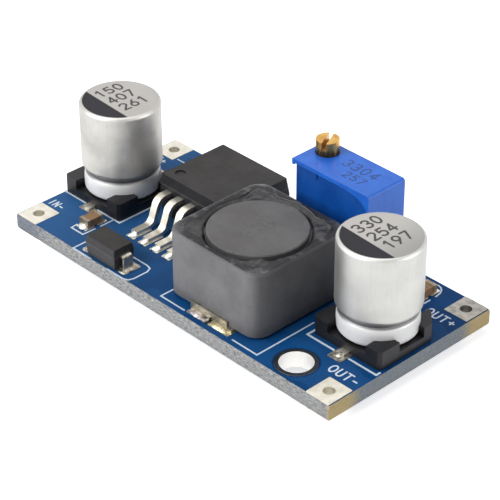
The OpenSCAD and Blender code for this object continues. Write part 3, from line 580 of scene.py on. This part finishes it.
GLYPHS = {  # each glyph is drawn in a box 0.6 wide and 1 high, with no sharp bend inside a stroke
    "I": [[(0.3, 0), (0.3, 1)]],
    "N": [[(0.05, 0), (0.05, 1)], [(0.05, 1), (0.55, 0)], [(0.55, 0), (0.55, 1)]],
    "O": [bow(0.3, 0.5, 0.3, 0.5, 90, 270), bow(0.3, 0.5, 0.3, 0.5, -90, 90)],
    "U": [np.vstack([[(0.03, 1)], bow(0.3, 0.27, 0.27, 0.27, 180, 360), [(0.57, 1)]])],
    "T": [[(0, 1), (0.6, 1)], [(0.3, 1), (0.3, 0)]],
    "+": [[(0.05, 0.5), (0.55, 0.5)], [(0.3, 0.25), (0.3, 0.75)]],
    "-": [[(0.1, 0.45), (0.5, 0.45)]],
    "0": [bow(0.3, 0.5, 0.26, 0.5, 90, 270), bow(0.3, 0.5, 0.26, 0.5, -90, 90)],
    "1": [[(0.12, 0.78), (0.34, 1)], [(0.34, 1), (0.34, 0)]],
    "2": [bow(0.3, 0.73, 0.26, 0.27, 160, -30), [(0.52, 0.59), (0.04, 0)], [(0.04, 0), (0.58, 0)]],
    "3": [bow(0.28, 0.75, 0.25, 0.25, 150, -85), bow(0.28, 0.26, 0.28, 0.26, 85, -150)],
    "4": [[(0.42, 0), (0.42, 1)], [(0.42, 1), (0.02, 0.3)], [(0.02, 0.3), (0.6, 0.3)]],
    "5": [[(0.52, 1), (0.12, 1)], [(0.12, 1), (0.08, 0.56)], bow(0.28, 0.32, 0.28, 0.32, 130, -150)],
    "6": [bow(0.3, 0.3, 0.26, 0.3, 0, 180), bow(0.3, 0.3, 0.26, 0.3, 180, 360),
          [(0.46, 1), (0.06, 0.42)]],
    "7": [[(0.04, 1), (0.56, 1)], [(0.56, 1), (0.2, 0)]],
    "8": [bow(0.3, 0.75, 0.22, 0.25, 0, 180), bow(0.3, 0.75, 0.22, 0.25, 180, 360),
          bow(0.3, 0.26, 0.27, 0.26, 0, 180), bow(0.3, 0.26, 0.27, 0.26, 180, 360)],
    "9": [bow(0.3, 0.7, 0.26, 0.3, 0, 180), bow(0.3, 0.7, 0.26, 0.3, 180, 360),
          [(0.54, 0.58), (0.14, 0)]],
}


def lettering(text, at, height, turn=0, wide=1.0, gap=0.27):
    """Strokes of a line of text that starts at `at` and runs at `turn` degrees."""
    c, s = math.cos(math.radians(turn)), math.sin(math.radians(turn))
    placed = []
    for number, sign in enumerate(text):
        for path in GLYPHS.get(sign, []):
            p = np.asarray(path, float) * [height * wide, height]
            p[:, 0] += number * height * (0.6 * wide + gap)
            placed.append(p @ np.array([[c, s], [-s, c]]) + at)
    return placed


# %% [markdown]
# ## White print on the board
# The print marks where each part goes and which wire goes where. It is ink, so
# it is thin, a little broken and slightly blue from the mask below. The lines
# are placed from the parts' own boxes, so they stay with them.

# %% Board print
ink = Finish("white_print")
spot = ink.where()
gaps = ink.noise(spot, 5.0, 3).step(0.62, 0.78)
WHITE = ink.close(ink.mix(gaps * 0.6, (0.70, 0.80, 0.92), (0.22, 0.34, 0.58)), 0.5)

LINE = 0.17
PRINT_Z = BOARD_TOP + 0.002
lines = []
LAND_HALF = 0.95


def can_outline(base, lands_x, cut, right_side=True):
    """A square with two cut corners round a capacitor's base, open at its lands."""
    low, high = box_mm(base)
    cx = (low[0] + high[0]) / 2
    half_x, half_y = (high[0] - low[0]) / 2 + 0.12, (high[1] - low[1]) / 2 + 0.2
    a, b = lands_x - LAND_HALF, lands_x + LAND_HALF
    left_x = max(cx - half_x, board_low[0] + 0.16)
    lines.append([(left_x, -half_y + 0.5), (left_x, -half_y), (a, -half_y)])
    front_right = [(b, -half_y), (cx + half_x, -half_y), (cx + half_x, -half_y + 0.45)]
    if right_side:
        front_right[-1] = (cx + half_x, half_y - cut)
        front_right += [(cx + half_x - cut, half_y), (b, half_y)]
    lines.append(front_right)
    lines.append([(a, half_y), (left_x + cut, half_y), (left_x, half_y - cut),
                  (left_x, -half_y + 0.5)])


in_base, out_base = middle("input_base"), middle("output_base")
can_outline("input_base", in_base[0], 1.6)
can_outline("output_base", out_base[0], 1.6, False)
strokes("can_outlines", lines, LINE + 0.06, PRINT_Z, WHITE)
lines = []

ind_low, ind_high = box_mm("inductor_shield")
left, right, front = ind_low[0] + 0.35, ind_high[0] + 1.1, ind_low[1] - 0.97
lines.append([(left, front + 1.5), (left, front), (left + 3.2, front)])
lines.append([(right - 3.15, front), (right, front), (right, front + 7.1)])

dio_low, dio_high = box_mm("diode_body")
x0, x1 = dio_low[0] - 1.72, dio_high[0] + 2.05
y0, y1 = dio_low[1] - 0.15, dio_high[1] + 0.45
lines.append([(x0 + 2.6, y0), (x0, y0), (x0, y1)])
lines.append([(x0 + 5.0, y0), (x1 - 0.75, y0), (x1 - 0.2, y0 + 0.2), (x1, y0 + 0.75), (x1, y1 - 0.7),
              (x1 - 0.25, y1 - 0.15), (x1 - 0.8, y1), (x0 + 5.2, y1)])

chip = middle("input_chip")
lines.append([(chip[0] - 0.85, chip[1] - 1.15), (chip[0] - 0.78, chip[1] - 1.9),
              (chip[0] + 0.95, chip[1] - 1.9), (chip[0] + 0.97, chip[1] - 0.4)])
lines.append([(chip[0] + 1.0, chip[1] + 0.3), (chip[0] + 1.0, chip[1] + 1.85)])
chip = middle("output_chip")
hood = bow(chip[0], chip[1] + 0.6, 1.03, 1.35, 0, 180, 9)
lines.append(np.vstack([[(chip[0] + 1.03, chip[1] + 0.4)], hood, [(chip[0] - 1.03, chip[1] + 0.4)]]))
lines.append([(chip[0] + 1.05, chip[1] - 1.15), (chip[0] + 1.05, chip[1] - 0.4)])

in_land, out_land = middle("wire_land_in_minus"), middle("wire_land_out_minus")
plus_land = middle("wire_land_in_plus")
lines.append([(plus_land[0] + 1.65, plus_land[1] - 1.0), (plus_land[0] + 2.9, plus_land[1] - 1.0)])
strokes("board_print", lines, LINE, PRINT_Z, WHITE)
words = lettering("IN-", (in_land[0] - 1.05, in_land[1] + 1.95), 0.85, 0, 1.0, 0.2)
words += lettering("IN+", (plus_land[0] - 1.0, plus_land[1] - 2.85), 1.0, 0, 1.0, 0.2)
words += lettering("OUT-", (out_land[0] - 2.3, out_land[1] + 2.1), 1.0, 0, 1.0, 0.28)
words += lettering("OUT+", (out_land[0] - 2.35, -out_land[1] - 3.15), 1.0, 0, 1.0, 0.28)
strokes("board_words", words, 0.17, PRINT_Z, WHITE)

# %% [markdown]
# ## A hair line on the regulator
# Near its far corner the regulator's top has a short dark line. It is one
# stroke, laid on the top like the print.

# %% Dark line on the regulator
reg_high = box_mm("regulator_body")[1]
tool = Finish("dark_hairline")
smudge = tool.noise(tool.where(), 3.0, 2)
DARK = tool.close(tool.mix(smudge, (0.006, 0.006, 0.006), (0.016, 0.014, 0.013)), 0.7)
# A short dark stroke near the far corner of the regulator's top.
slit_x = reg_high[0] - 1.35
strokes("regulator_dark_hairline", [[(slit_x, reg_high[1] - 2.9), (slit_x, reg_high[1] - 1.55)]], 0.12,
        reg_high[2] + 0.001, DARK, 0.006)

# %% [markdown]
# ## Capacitor cans
# A can is drawn from thin aluminium: a straight wall with faint vertical draw
# marks, a groove that grips the rubber bung, and a rolled flange at its foot. A
# profile turned about its axis gives all of that, and a fine one keeps the
# reflections smooth. The dark sector and the figures are ink on top.

# %% Can finish and shape
FOOT_IN, GROOVE_IN, FOOT_H, GROOVE_H = 0.2, 0.25, 2.1, 0.9


def can_finish(name, cx, cy, bottom, top, radius, dull, bright):
    """Satin metal, finely drawn upwards, with an ink sector on the minus side. The top is painted darker
    towards +x as shade, the foot is painted near white as a highlight, and the groove and the bottom
    edge are painted dark as shade.
    """
    finish = Finish(name)
    spot = finish.where((cx, cy, 0))
    x, y, z = finish.xyz(spot)
    reach = finish.from_axis(spot)
    on_top = z.step(top - 0.03, top - 0.01)
    foot = 1 - z.step(bottom + 1.8, bottom + 2.02)
    chord = y + x * 0.06
    sector = on_top * (1 - chord.step(-1.60, -1.54)) * (1 - reach.step(radius - 0.36, radius - 0.30))
    drawn = finish.noise(finish.stretched(spot, (8, 8, 0.3)), 1.0, 4, 0.65)
    cloud = finish.noise(spot, 0.3, 3, 0.6)
    fine = finish.noise(spot, 12.0, 3)
    scuff = finish.noise(finish.stretched(spot, (1.5, 1.5, 0.5)), 1.3, 4, 0.7).step(0.6, 0.78)
    side = finish.mix(cloud.step(0.3, 0.7), dull, bright)
    side = finish.mix(drawn.step(0.5, 0.8) * 0.35, side, tuple(c * 0.78 for c in dull))
    side = finish.mix(scuff * 0.2, side, tuple(c * 0.6 for c in dull))
    # Painted shade: the top is painted darker towards +x, strongly on the output can.
    painted_top_shade = x.step(-1.0, 4.5) * (0.75 if name.startswith("output") else 0.1)
    side = finish.mix(on_top * 0.85, side, finish.mix(painted_top_shade, (0.50, 0.48, 0.46), (0.24, 0.24, 0.225)))
    # Painted highlight: the foot is painted near white and made less metallic, in place of its bright
    # reflection.
    side = finish.mix(foot, side, (0.93, 0.93, 0.93))
    # Painted shade: the groove is painted dark grey, in place of its shade and its reflection of the
    # black base.
    groove = z.step(bottom + 1.92, bottom + 2.05) * (1 - z.step(bottom + 2.35, bottom + 3.05))
    side = finish.mix(groove * 0.75, side, (0.16, 0.16, 0.175))
    # Painted shade: the lowest edge, where the can sits in its base, is painted nearly black.
    side = finish.mix((1 - z.step(bottom + 0.12, bottom + 0.24)) * 0.9, side, (0.03, 0.03, 0.035))
    ink = finish.mix(cloud, (0.016, 0.015, 0.020), (0.032, 0.030, 0.038))
    metal_share = (1 - sector) * (1 - on_top * 0.4) * (1 - foot * 0.85)
    rough = 0.38 + cloud * 0.08 + fine * 0.08 + on_top * 0.1
    return finish.close(finish.mix(sector, side, ink), rough, metal_share,
                        drawn * 0.5 + fine * 0.3 + scuff * 0.3, 0.007, Specular_IOR_Level=0.2)


def can_profile(radius, bottom, top):
    """Foot, bulge, groove, wall and rounded top edge, as (radius, height). The bulge is
    r = g + d cos t, z = h sin t, and the groove leaves it along half a cosine wave."""
    foot, groove, rim, edge = radius - FOOT_IN, radius - FOOT_IN - GROOVE_IN, 0.5, 0.36
    shoulder = bottom + FOOT_H
    t = np.radians(np.linspace(0, 90, 13))
    bulge = np.stack([groove + (foot - groove) * np.cos(t), shoulder - 0.9 + 0.9 * np.sin(t)], -1)
    rise = np.linspace(0, 1, 21)[1:]
    back = np.stack([groove + (radius - groove) * (1 - np.cos(math.pi * rise)) / 2,
                     shoulder + GROOVE_H * rise], -1)
    wall = np.stack([np.full(6, radius), np.linspace(shoulder + 1.2, top - 0.6, 6)], -1)
    return np.vstack([[[0, bottom]], arc((foot - rim, bottom + rim), rim, -90, 0, 9), bulge, back,
                      wall, arc((radius - edge, top - edge), edge, 0, 90, 9),
                      [[radius - edge - 0.3, top]], [[0, top]]])


TONES = {"input": ((0.46, 0.45, 0.43), (0.60, 0.59, 0.56)),
         "output": ((0.53, 0.53, 0.51), (0.60, 0.60, 0.58))}
for side, tones in TONES.items():
    low, high = box_mm(side + "_can")
    (cx, cy), radius = ((low + high) / 2)[:2], (high[0] - low[0]) / 2
    finish = can_finish(side + "_can_metal", cx, cy, low[2], high[2], radius, *tones)
    shell = lathe(side + "_can_shell", can_profile(radius, low[2], high[2]), (cx, cy),
                  finish, "can_metal", 128)
    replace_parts(shell, side + "_can")
    print(side, "can is", round(radius * 2, 2), "mm across")

# %% [markdown]
# ### Figures on the cans
# Real cans carry their values. Here the rows hold plain figures that mean
# nothing, in the same thin grey ink, so that the tops aren't empty.

# %% Can figures
dark = Finish("can_ink")
spot = dark.where()
worn = dark.noise(spot, 6.0, 3).step(0.6, 0.8)
INK = dark.close(dark.mix(worn * 0.4, (0.045, 0.042, 0.042), (0.2, 0.2, 0.2)), 0.5)
for side, rows in (("input", ("150", "407", "261")), ("output", ("330", "254", "197"))):
    low, high = box_mm(side + "_can")
    cx, cy = ((low + high) / 2)[:2]
    figures = []
    for number, row in enumerate(rows):
        start = (cx - 1.55 + number * 1.78, cy - 1.15 + 0.05 * number)
        figures += lettering(row, start, 1.18, 88, 1.15, 0.24)
    strokes(side + "_can_figures", figures, 0.21, high[2] + 0.001, INK, 0.008)

# %% [markdown]
# ## The shielded inductor
# Ferrite is pressed powder fired like a pot: dark grey, with tiny pits and a
# slight metallic sheen on its pressed faces. A coat of glue darkens the rim of
# the ring, close to the drum. Painted shade darkens the edge of the bore, the
# side next to the output can and the foot of the sides. The solid shapes are
# right as they are, so they only need their finishes.

# %% Ferrite
drum_low, drum_high = box_mm("inductor_core")
drum_at = (drum_low + drum_high) / 2
DRUM_R = (drum_high[0] - drum_low[0]) / 2
DRUM_TOP = drum_high[2]
shield_low, shield_high = box_mm("inductor_shield")


def ferrite(name, dark, light, rough, glue_and_shade=0.0):
    """Fired ferrite: tones of grey and pits. The last argument lays a dark coat of glue
    on top and adds painted shade: a darker ring at the bore, a darker side next to
    the output can and sides that darken towards their foot."""
    finish = Finish(name)
    spot = finish.where((*drum_at[:2], 0))
    x, y, z = finish.xyz(spot)
    reach = finish.from_axis(spot)
    cloud = finish.noise(spot, 0.3, 3, 0.6)
    smear = finish.noise(spot, 0.9, 4, 0.65)
    grain = finish.noise(spot, 7.0, 4, 0.7)
    pit = 1 - finish.cells(spot, 3.0).step(0.05, 0.16)
    up = finish.normal_z().step(0.6, 0.9)
    colour = finish.mix(cloud.step(0.3, 0.7) * 0.6 + grain.step(0.4, 0.7) * 0.35, dark, light)
    colour = finish.mix(pit * 0.5, colour, tuple(c * 0.35 for c in dark))
    glued = up * glue_and_shade * (1 - (reach + smear * 2.4 - 1.2).step(DRUM_R + 1.6, DRUM_R + 3.6))
    colour = finish.mix(glued, colour, (0.024, 0.023, 0.026))
    # Painted shade: a dark ring at the bore's edge stands in for the shadow in the gap round the drum.
    painted_bore_shade = up * glue_and_shade * (1 - (reach + smear * 0.8 - 0.4).step(DRUM_R + 0.65, DRUM_R + 1.15))
    colour = finish.mix(painted_bore_shade * 0.8, colour, (0.008, 0.008, 0.009))
    # Painted shade: the side next to the output can is painted darker.
    painted_far_shade = x.step(shield_high[0] - drum_at[0] - 0.9, shield_high[0] - drum_at[0] - 0.2) * glue_and_shade
    colour = finish.mix(painted_far_shade * 0.45, colour, (0.035, 0.035, 0.038))
    chip = (smear * up).step(0.52, 0.66) * 0.3
    colour = finish.mix(chip * glue_and_shade, colour, tuple(c * 1.25 for c in light))
    # Painted shade: the sides are painted darker towards their foot, near the board.
    low = (1 - (z - shield_low[2] + smear).step(0.7, 1.9)) * glue_and_shade
    colour = finish.mix(low * 0.35, colour, tuple(c * 0.4 for c in dark))
    return finish.close(colour, rough + grain * 0.16 - glued * 0.12, 0.0,
                        grain * 0.5 - pit * 0.6 + smear * glue_and_shade * up, 0.035, Specular_IOR_Level=0.16)


wear("inductor_shield",
     ferrite("ferrite_ring", (0.170, 0.169, 0.176), (0.255, 0.252, 0.260), 0.33, 0.95))
wear("inductor_core", ferrite("ferrite_drum", (0.125, 0.120, 0.121), (0.190, 0.185, 0.186), 0.40))
print("drum is", round(DRUM_R * 2, 2), "mm across")

# %% [markdown]
# ### Glue between drum and ring
# Dark glue holds the drum in its ring. It nearly fills the four corner pockets
# and sinks to a shiny groove between them. A sheet over angle and distance
# gives both: its outer edge follows the pockets, and its height follows how
# much room there is, plus uneven waves.

# %% Glue sheet
WALL, POCKET_WALL, POCKET_R = 0.5, 1.0, 0.9
glue_box = box_mm("inductor_glue")
SHIELD_HALF = (shield_high[0] - shield_low[0]) / 2


def glue_sheet(turns=288, steps=18):
    """Height is top - groove + fill * room, where room is how far the pocket reaches past
    the round bore at that angle. The last rows turn down to close the piece below."""
    turn = around(turns)
    inner = DRUM_R - 0.02
    bore = SHIELD_HALF - WALL
    outer = np.maximum(bore, rounded_square(SHIELD_HALF - POCKET_WALL, POCKET_R, turn)) - 0.01
    room = np.clip((outer - bore) / 1.1, 0, 1)
    t = np.linspace(0, 1, steps)[:, None]
    reach = inner + (outer - inner) * t
    x, y = reach * np.cos(turn), reach * np.sin(turn)
    ditch = np.exp(-((t * (outer - inner) - 0.12) / 0.22) ** 2)
    climb = 0.22 * np.exp((t - 1) * (outer - inner) * 4)
    lumps = ripple(x, y, 5, 5, 3.2) * (0.05 + 0.14 * room)
    height = DRUM_TOP - 0.34 + 0.24 * room + climb + lumps - 0.34 * ditch
    low = glue_box[0][2]
    ring_points = rings(reach, height, turn).reshape(steps, turns, 3)
    under = rings(np.vstack([outer, np.full(turns, inner)]), np.full((2, turns), low), turn)
    points = np.vstack([ring_points, under.reshape(2, turns, 3), ring_points[:1]])
    return points.reshape(-1, 3) + np.array([*drum_at[:2], 0]), grid_faces(steps + 3, turns)


glue = Finish("dark_glue")
spot = glue.where()
lump = glue.noise(spot, 1.2, 3, 0.6)
fine = glue.noise(spot, 7.0, 3, 0.6)
tone = glue.mix(lump.step(0.35, 0.7), (0.008, 0.008, 0.010), (0.034, 0.033, 0.036))
GLUE = glue.close(tone, 0.26 + lump * 0.3, 0.0, lump * 0.6 + fine * 0.2, 0.03)
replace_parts(make_piece("inductor_glue_sheet", *glue_sheet(), GLUE, "dark_glue"), "inductor_glue")

# %% Inductor figures
faint = Finish("faint_ink")
rubbed = faint.noise(faint.where(), 2.5, 3)
FAINT = faint.close(faint.mix(rubbed.step(0.4, 0.6), (0.080, 0.077, 0.078), (0.120, 0.115, 0.115)), 0.45)
strokes("inductor_figures", lettering("618", (drum_at[0] + 0.75, drum_at[1] - 1.9), 1.5, 90), 0.26,
        DRUM_TOP + 0.001, FAINT, 0.006)

# %% [markdown]
# ### The mounting clip
# A plated strip holds the inductor down, and two blobs of solder hold its foot.
# The left blob is bright tin, the right one has a gold tint from flux, and a
# gap parts them, where the land is painted near black as the gap's shadow.
# One finish does both, and changes at the gap.

# %% Clip finish
clip_low, clip_high = box_mm("inductor_clip_front")
foot = Finish("clip_solder")
GAP_X = (clip_low[0] + clip_high[0]) / 2
spot = foot.where((GAP_X, 0, 0))
x, y, z = foot.xyz(spot)
patch = foot.noise(spot, 1.4, 3, 0.6)
fine = foot.noise(spot, 6.0, 3)
silver = foot.mix(patch.step(0.4, 0.65), (0.74, 0.70, 0.69), (0.24, 0.21, 0.21))
gold = foot.mix(patch.step(0.45, 0.75), (0.74, 0.66, 0.44), (0.36, 0.31, 0.18))
shade = foot.mix(x.step(-0.1, 0.3), silver, gold)
# Painted shadow: the land in the clip's gap is painted near black.
gap = 1 - abs(x - 0.05).step(0.12, 0.30)
FOOT = foot.close(foot.mix(gap * 0.95, shade, (0.008, 0.008, 0.008)), 0.25 + patch * 0.2, 1.0,
                  patch + fine * 0.3, 0.07)
wear("inductor_lands", FOOT)
wear("inductor_clip_front inductor_clip_back",
     metal("clip_metal", (0.46, 0.43, 0.36), (0.17, 0.15, 0.12), 0.32, 0.04, 1.5, tarnish=0.8))

# %% [markdown]
# ## Solder
# Melted solder pulls itself into a smooth low dome that leans on the lead. Each
# dome is rings that shrink towards a peak, and the peak can sit off centre. All
# domes of one kind are one mesh.

# %% Solder domes
SEAT = box_mm("regulator_lands")[1][2]


def domes(name, spots, material, slot, count=28, steps=9, seed=3):
    """Joined domes. A spot is (x, y, half x, half y, height, lean x, lean y). Ring share s
    runs from 1 at the edge to 0 at the peak: the place is centre + (1 - s) lean + s half
    (cos a, sin a), and the height is h (1 - s^2) ^ 0.75. Slow waves make each one uneven."""
    turn, draw = around(count), np.random.default_rng(seed)
    share = np.concatenate([[0], np.linspace(1, 0, steps)])[:, None]
    points, faces, base = [], [], 0
    for x, y, half_x, half_y, tall, lean_x, lean_y in spots:
        wave = 1 + 0.10 * np.sin(2 * turn + draw.uniform(0, 6))
        wave = wave + 0.06 * np.sin(3 * turn + draw.uniform(0, 6))
        rise = np.where(np.arange(steps + 1)[:, None] == 0, 0, (1 - share ** 2) ** 0.75 * tall)
        px = x + (1 - share) * lean_x + share * half_x * wave * np.cos(turn)
        py = y + (1 - share) * lean_y + share * half_y * wave * np.sin(turn)
        z = SEAT - 0.02 + np.broadcast_to(rise, px.shape)
        px[0], py[0] = x, y
        points.append(np.stack([px, py, z], -1).reshape(-1, 3))
        faces.append(grid_faces(steps + 1, count) + base)
        base += count * (steps + 1)
    return make_piece(name, np.vstack(points), np.vstack(faces), material, slot)


leads = [middle("regulator_lead_" + n)[0] for n in "1245"]
leads.insert(2, (leads[1] + leads[2]) / 2)
tip = box_mm("regulator_lead_1")[0][1]
domes("lead_solder", [(lead, tip - 0.05, 0.5, 0.62, 0.34, 0, 0.12) for lead in leads], SOLDER, "solder")

spots = []
for name in ("input_chip", "output_chip"):
    low, high = box_mm(name + "_ends")
    cx = (low[0] + high[0]) / 2
    spots += [(cx, low[1] - 0.12, 0.62, 0.5, 0.42, 0, 0.25),
              (cx, high[1] + 0.1, 0.6, 0.4, 0.42, 0, -0.25)]
domes("chip_solder", spots, SOLDER, "solder", seed=8)

spots = []
for name, way in (("diode_strap_anode", 1), ("diode_strap_cathode", -1)):
    low, high = box_mm(name)
    cx, cy = ((low + high) / 2)[:2]
    edge_x = high[0] if way > 0 else low[0]
    spots += [(edge_x, cy - 0.05, 0.55, 0.85, 0.26, -0.2 * way, 0),
              (edge_x - 0.3 * way, cy + 0.7, 0.5, 0.3, 0.16, 0, 0),
              (edge_x - 0.1 * way, cy - 0.75, 0.55, 0.28, 0.14, 0, 0)]
for name in ("input", "output"):
    for end, way in (("minus", -1), ("plus", 1)):
        low, high = box_mm(name + "_terminal_" + end)
        cx, cy = (low[0] + high[0]) / 2, low[1] if way < 0 else high[1]
        spots.append((cx, cy, 0.55, 0.42, 0.24, 0, -0.1 * way))
domes("dull_solder", spots, FLUXED, "solder", seed=4)
print(len(spots), "dull domes")

foot_y = (clip_low[1] + box_mm("inductor_lands")[0][1]) / 2 + 0.05
spots = [(GAP_X + way * 1.3, foot_y, 1.08, 0.42, 0.22, 0, 0.08) for way in (-1, 1)]
domes("clip_solder", spots, FOOT, "solder", seed=6)

# %% [markdown]
# ## The trimmer
# Its case is glossy blue thermoplastic, slightly see-through at its edges, and
# its screw is turned brass with fine rings and a burred slot. Glossy plastic is
# a smooth base with very shallow, wide waves from the mould.

# %% Trimmer finishes


def blue_plastic(name, deep, bright):
    finish = Finish(name)
    spot = finish.where()
    wave = finish.noise(spot, 0.5, 2)
    fine = finish.noise(spot, 9.0, 2)
    colour = finish.mix(wave.step(0.3, 0.7), deep, bright)
    return finish.close(colour, 0.26 + fine * 0.12, 0.0, wave * 0.7 + fine * 0.1, 0.04,
                        Subsurface_Weight=0.06, Subsurface_Scale=0.0006)


HOUSING = blue_plastic("trimmer_blue", (0.010, 0.140, 0.68), (0.018, 0.180, 0.80))
wear("trimmer_housing", HOUSING)
wear("trimmer_cover", blue_plastic("trimmer_cover_blue", (0.003, 0.075, 0.37), (0.006, 0.098, 0.45)))

brass = Finish("screw_brass")
screw_low, screw_high = box_mm("trimmer_screw")
screw_at = (screw_low + screw_high) / 2
spot = brass.where((*screw_at[:2], 0))
x, y, z = brass.xyz(spot)
reach = brass.from_axis(spot)
turned = (reach * 42).math("SINE")
cloud = brass.noise(spot, 1.2, 3)
fine = brass.noise(spot, 9.0, 3)
gold = brass.mix(cloud.step(0.3, 0.7), (0.80, 0.49, 0.15), (0.62, 0.33, 0.08))
gold = brass.mix(fine.step(0.55, 0.8) * 0.4, gold, (0.35, 0.17, 0.05))
streak = brass.noise(brass.stretched(spot, (5, 5, 0.4)), 1.0, 3, 0.7).step(0.46, 0.62)
# Painted reflection: the screw is painted nearly black towards its lower part, standing in for the dark
# case it reflects.
painted_dark_reflection = (1 - (z + streak * 0.5).step(screw_high[2] - 1.0, screw_high[2] - 0.15)) * 0.92
gold = brass.mix(painted_dark_reflection, gold, (0.035, 0.026, 0.014))
wear("trimmer_screw", brass.close(gold, 0.25 + fine * 0.12 + painted_dark_reflection * 0.15, 1.0,
                                  turned * 0.3 + fine * 0.4 + streak * 0.5, 0.008))

# %% [markdown]
# ### Figures on the trimmer
# The top is stamped in ink hardly darker than the case. Two rows of plain
# figures stand behind the screw, in strokes like the board's print.

# %% Trimmer figures
stamp = Finish("stamped_ink")
rubbed = stamp.noise(stamp.where(), 3.5, 3).step(0.5, 0.75)
STAMP = stamp.close(stamp.mix(rubbed, (0.010, 0.060, 0.27), (0.014, 0.13, 0.55)), 0.4)
case_low, case_high = box_mm("trimmer_housing")
rows = lettering("3304", (case_low[0] + 3.9, case_low[1] + 2.5), 1.15, 0, 1.1, 0.3)
rows += lettering("257", (case_low[0] + 5.3, case_low[1] + 1.05), 0.95, 0, 1.1, 0.3)
strokes("trimmer_figures", rows, 0.17, case_high[2] + 0.001, STAMP, 0.006)

# %% [markdown]
# ## Floor, light and camera
# A product stands on white paper under big soft lamps. The floor is a plain
# pale sheet, white to the camera and still able to hold a shadow. The widest
# lamp, low at the front left, gives the cans their long soft highlights. One
# above lights the tops, and a small one at the far right picks out the edges.

# %% Lamps and world


def seen_directly(tree):
    """1 for a ray from the camera, a mirror or glass, and 0 for one that gathers light."""
    path = tree.nodes.new("ShaderNodeLightPath")
    total = path.outputs["Is Camera Ray"]
    for ray in ("Is Glossy Ray", "Is Transmission Ray"):
        larger = tree.nodes.new("ShaderNodeMath")
        larger.operation = "MAXIMUM"
        tree.links.new(total, larger.inputs[0])
        tree.links.new(path.outputs[ray], larger.inputs[1])
        total = larger.outputs[0]
    return total


world = bpy.data.worlds.new("studio")
bpy.context.scene.world = world
world.use_nodes = True
tree = world.node_tree
tree.nodes.clear()
plain, white = (tree.nodes.new("ShaderNodeBackground") for _ in range(2))
plain.inputs["Color"].default_value = (0.75, 0.77, 0.80, 1)
plain.inputs["Strength"].default_value = 0.17
white.inputs["Color"].default_value = (1, 1, 1, 1)
white.inputs["Strength"].default_value = 1.0
blend = tree.nodes.new("ShaderNodeMixShader")
tree.links.new(seen_directly(tree), blend.inputs["Fac"])
tree.links.new(plain.outputs[0], blend.inputs[1])
tree.links.new(white.outputs[0], blend.inputs[2])
tree.links.new(blend.outputs[0], tree.nodes.new("ShaderNodeOutputWorld").inputs["Surface"])


def soft_lamp(name, at, size, watts):
    """A square area lamp that points at the board's middle. Distances in metres."""
    data = bpy.data.lights.new(name, "AREA")
    data.size, data.energy = size, watts
    lamp = bpy.data.objects.new(name, data)
    lamp.location = at
    lamp.rotation_euler = (Vector((0, 0, 0.004)) - Vector(at)).to_track_quat("-Z", "Y").to_euler()
    bpy.context.scene.collection.objects.link(lamp)


soft_lamp("key", (-0.09, -0.24, 0.16), 0.26, 0.75)
soft_lamp("top", (-0.06, 0.03, 0.30), 0.24, 0.34)
soft_lamp("rim", (0.26, 0.13, 0.08), 0.16, 0.30)
print("lamps hung")

# %% Floor
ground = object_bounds()[0][2]
FLOOR_HALF = 0.6
corners = [(i * FLOOR_HALF, j * FLOOR_HALF, ground) for i, j in ((-1, -1), (1, -1), (1, 1), (-1, 1))]
floor_mesh = bpy.data.meshes.new("floor")
floor_mesh.from_pydata(corners, [], [(0, 1, 2, 3)])
floor = bpy.data.objects.new("floor", floor_mesh)
bpy.context.scene.collection.objects.link(floor)
paper = bpy.data.materials.new("paper")
paper.use_nodes = True
tree = paper.node_tree
tree.nodes.clear()
sheet = tree.nodes.new("ShaderNodeBsdfDiffuse")
sheet.inputs["Color"].default_value = (0.8, 0.8, 0.8, 1)
glow = tree.nodes.new("ShaderNodeEmission")
tree.links.new(seen_directly(tree), glow.inputs["Strength"])
glow.inputs["Color"].default_value = (0.70, 0.70, 0.70, 1)
both = tree.nodes.new("ShaderNodeAddShader")
tree.links.new(sheet.outputs[0], both.inputs[0])
tree.links.new(glow.outputs[0], both.inputs[1])
tree.links.new(both.outputs[0], tree.nodes.new("ShaderNodeOutputMaterial").inputs["Surface"])
floor_mesh.materials.append(paper)
print("floor at", round(ground / MM, 2), "mm")

# %% [markdown]
# ## Camera
# A long lens looks down at the output end's front corner. Its place follows from
# two angles and a distance: the camera stands back from a point near the board
# along its own line of sight.

# %% Camera
AZIMUTH, ELEVATION, ROLL = math.radians(46.41), math.radians(33.16), math.radians(-0.145)
DISTANCE, SIDE, UPWARD, LENS = 191.07, -0.501, -2.261, 144.9
back = np.array([math.sin(AZIMUTH) * math.cos(ELEVATION),
                 -math.cos(AZIMUTH) * math.cos(ELEVATION), math.sin(ELEVATION)])
across = np.cross(-back, [0, 0, 1])
across /= np.linalg.norm(across)
rise = np.cross(across, -back)
right_way = math.cos(ROLL) * across + math.sin(ROLL) * rise
up_way = -math.sin(ROLL) * across + math.cos(ROLL) * rise
eye = (back * DISTANCE - right_way * SIDE - up_way * UPWARD) * MM
camera = bpy.data.objects.new("camera", bpy.data.cameras.new("camera"))
camera.data.lens = LENS
camera.data.clip_start = 0.01
camera.matrix_world = Matrix([[*(float(v[i]) for v in (right_way, up_way, back)), float(eye[i])]
                              for i in range(3)] + [[0, 0, 0, 1]])
bpy.context.scene.collection.objects.link(camera)
bpy.context.scene.camera = camera
print("camera at", np.round(eye / MM, 1))

# %% Look and finish
bpy.context.scene.view_settings.view_transform = "Standard"
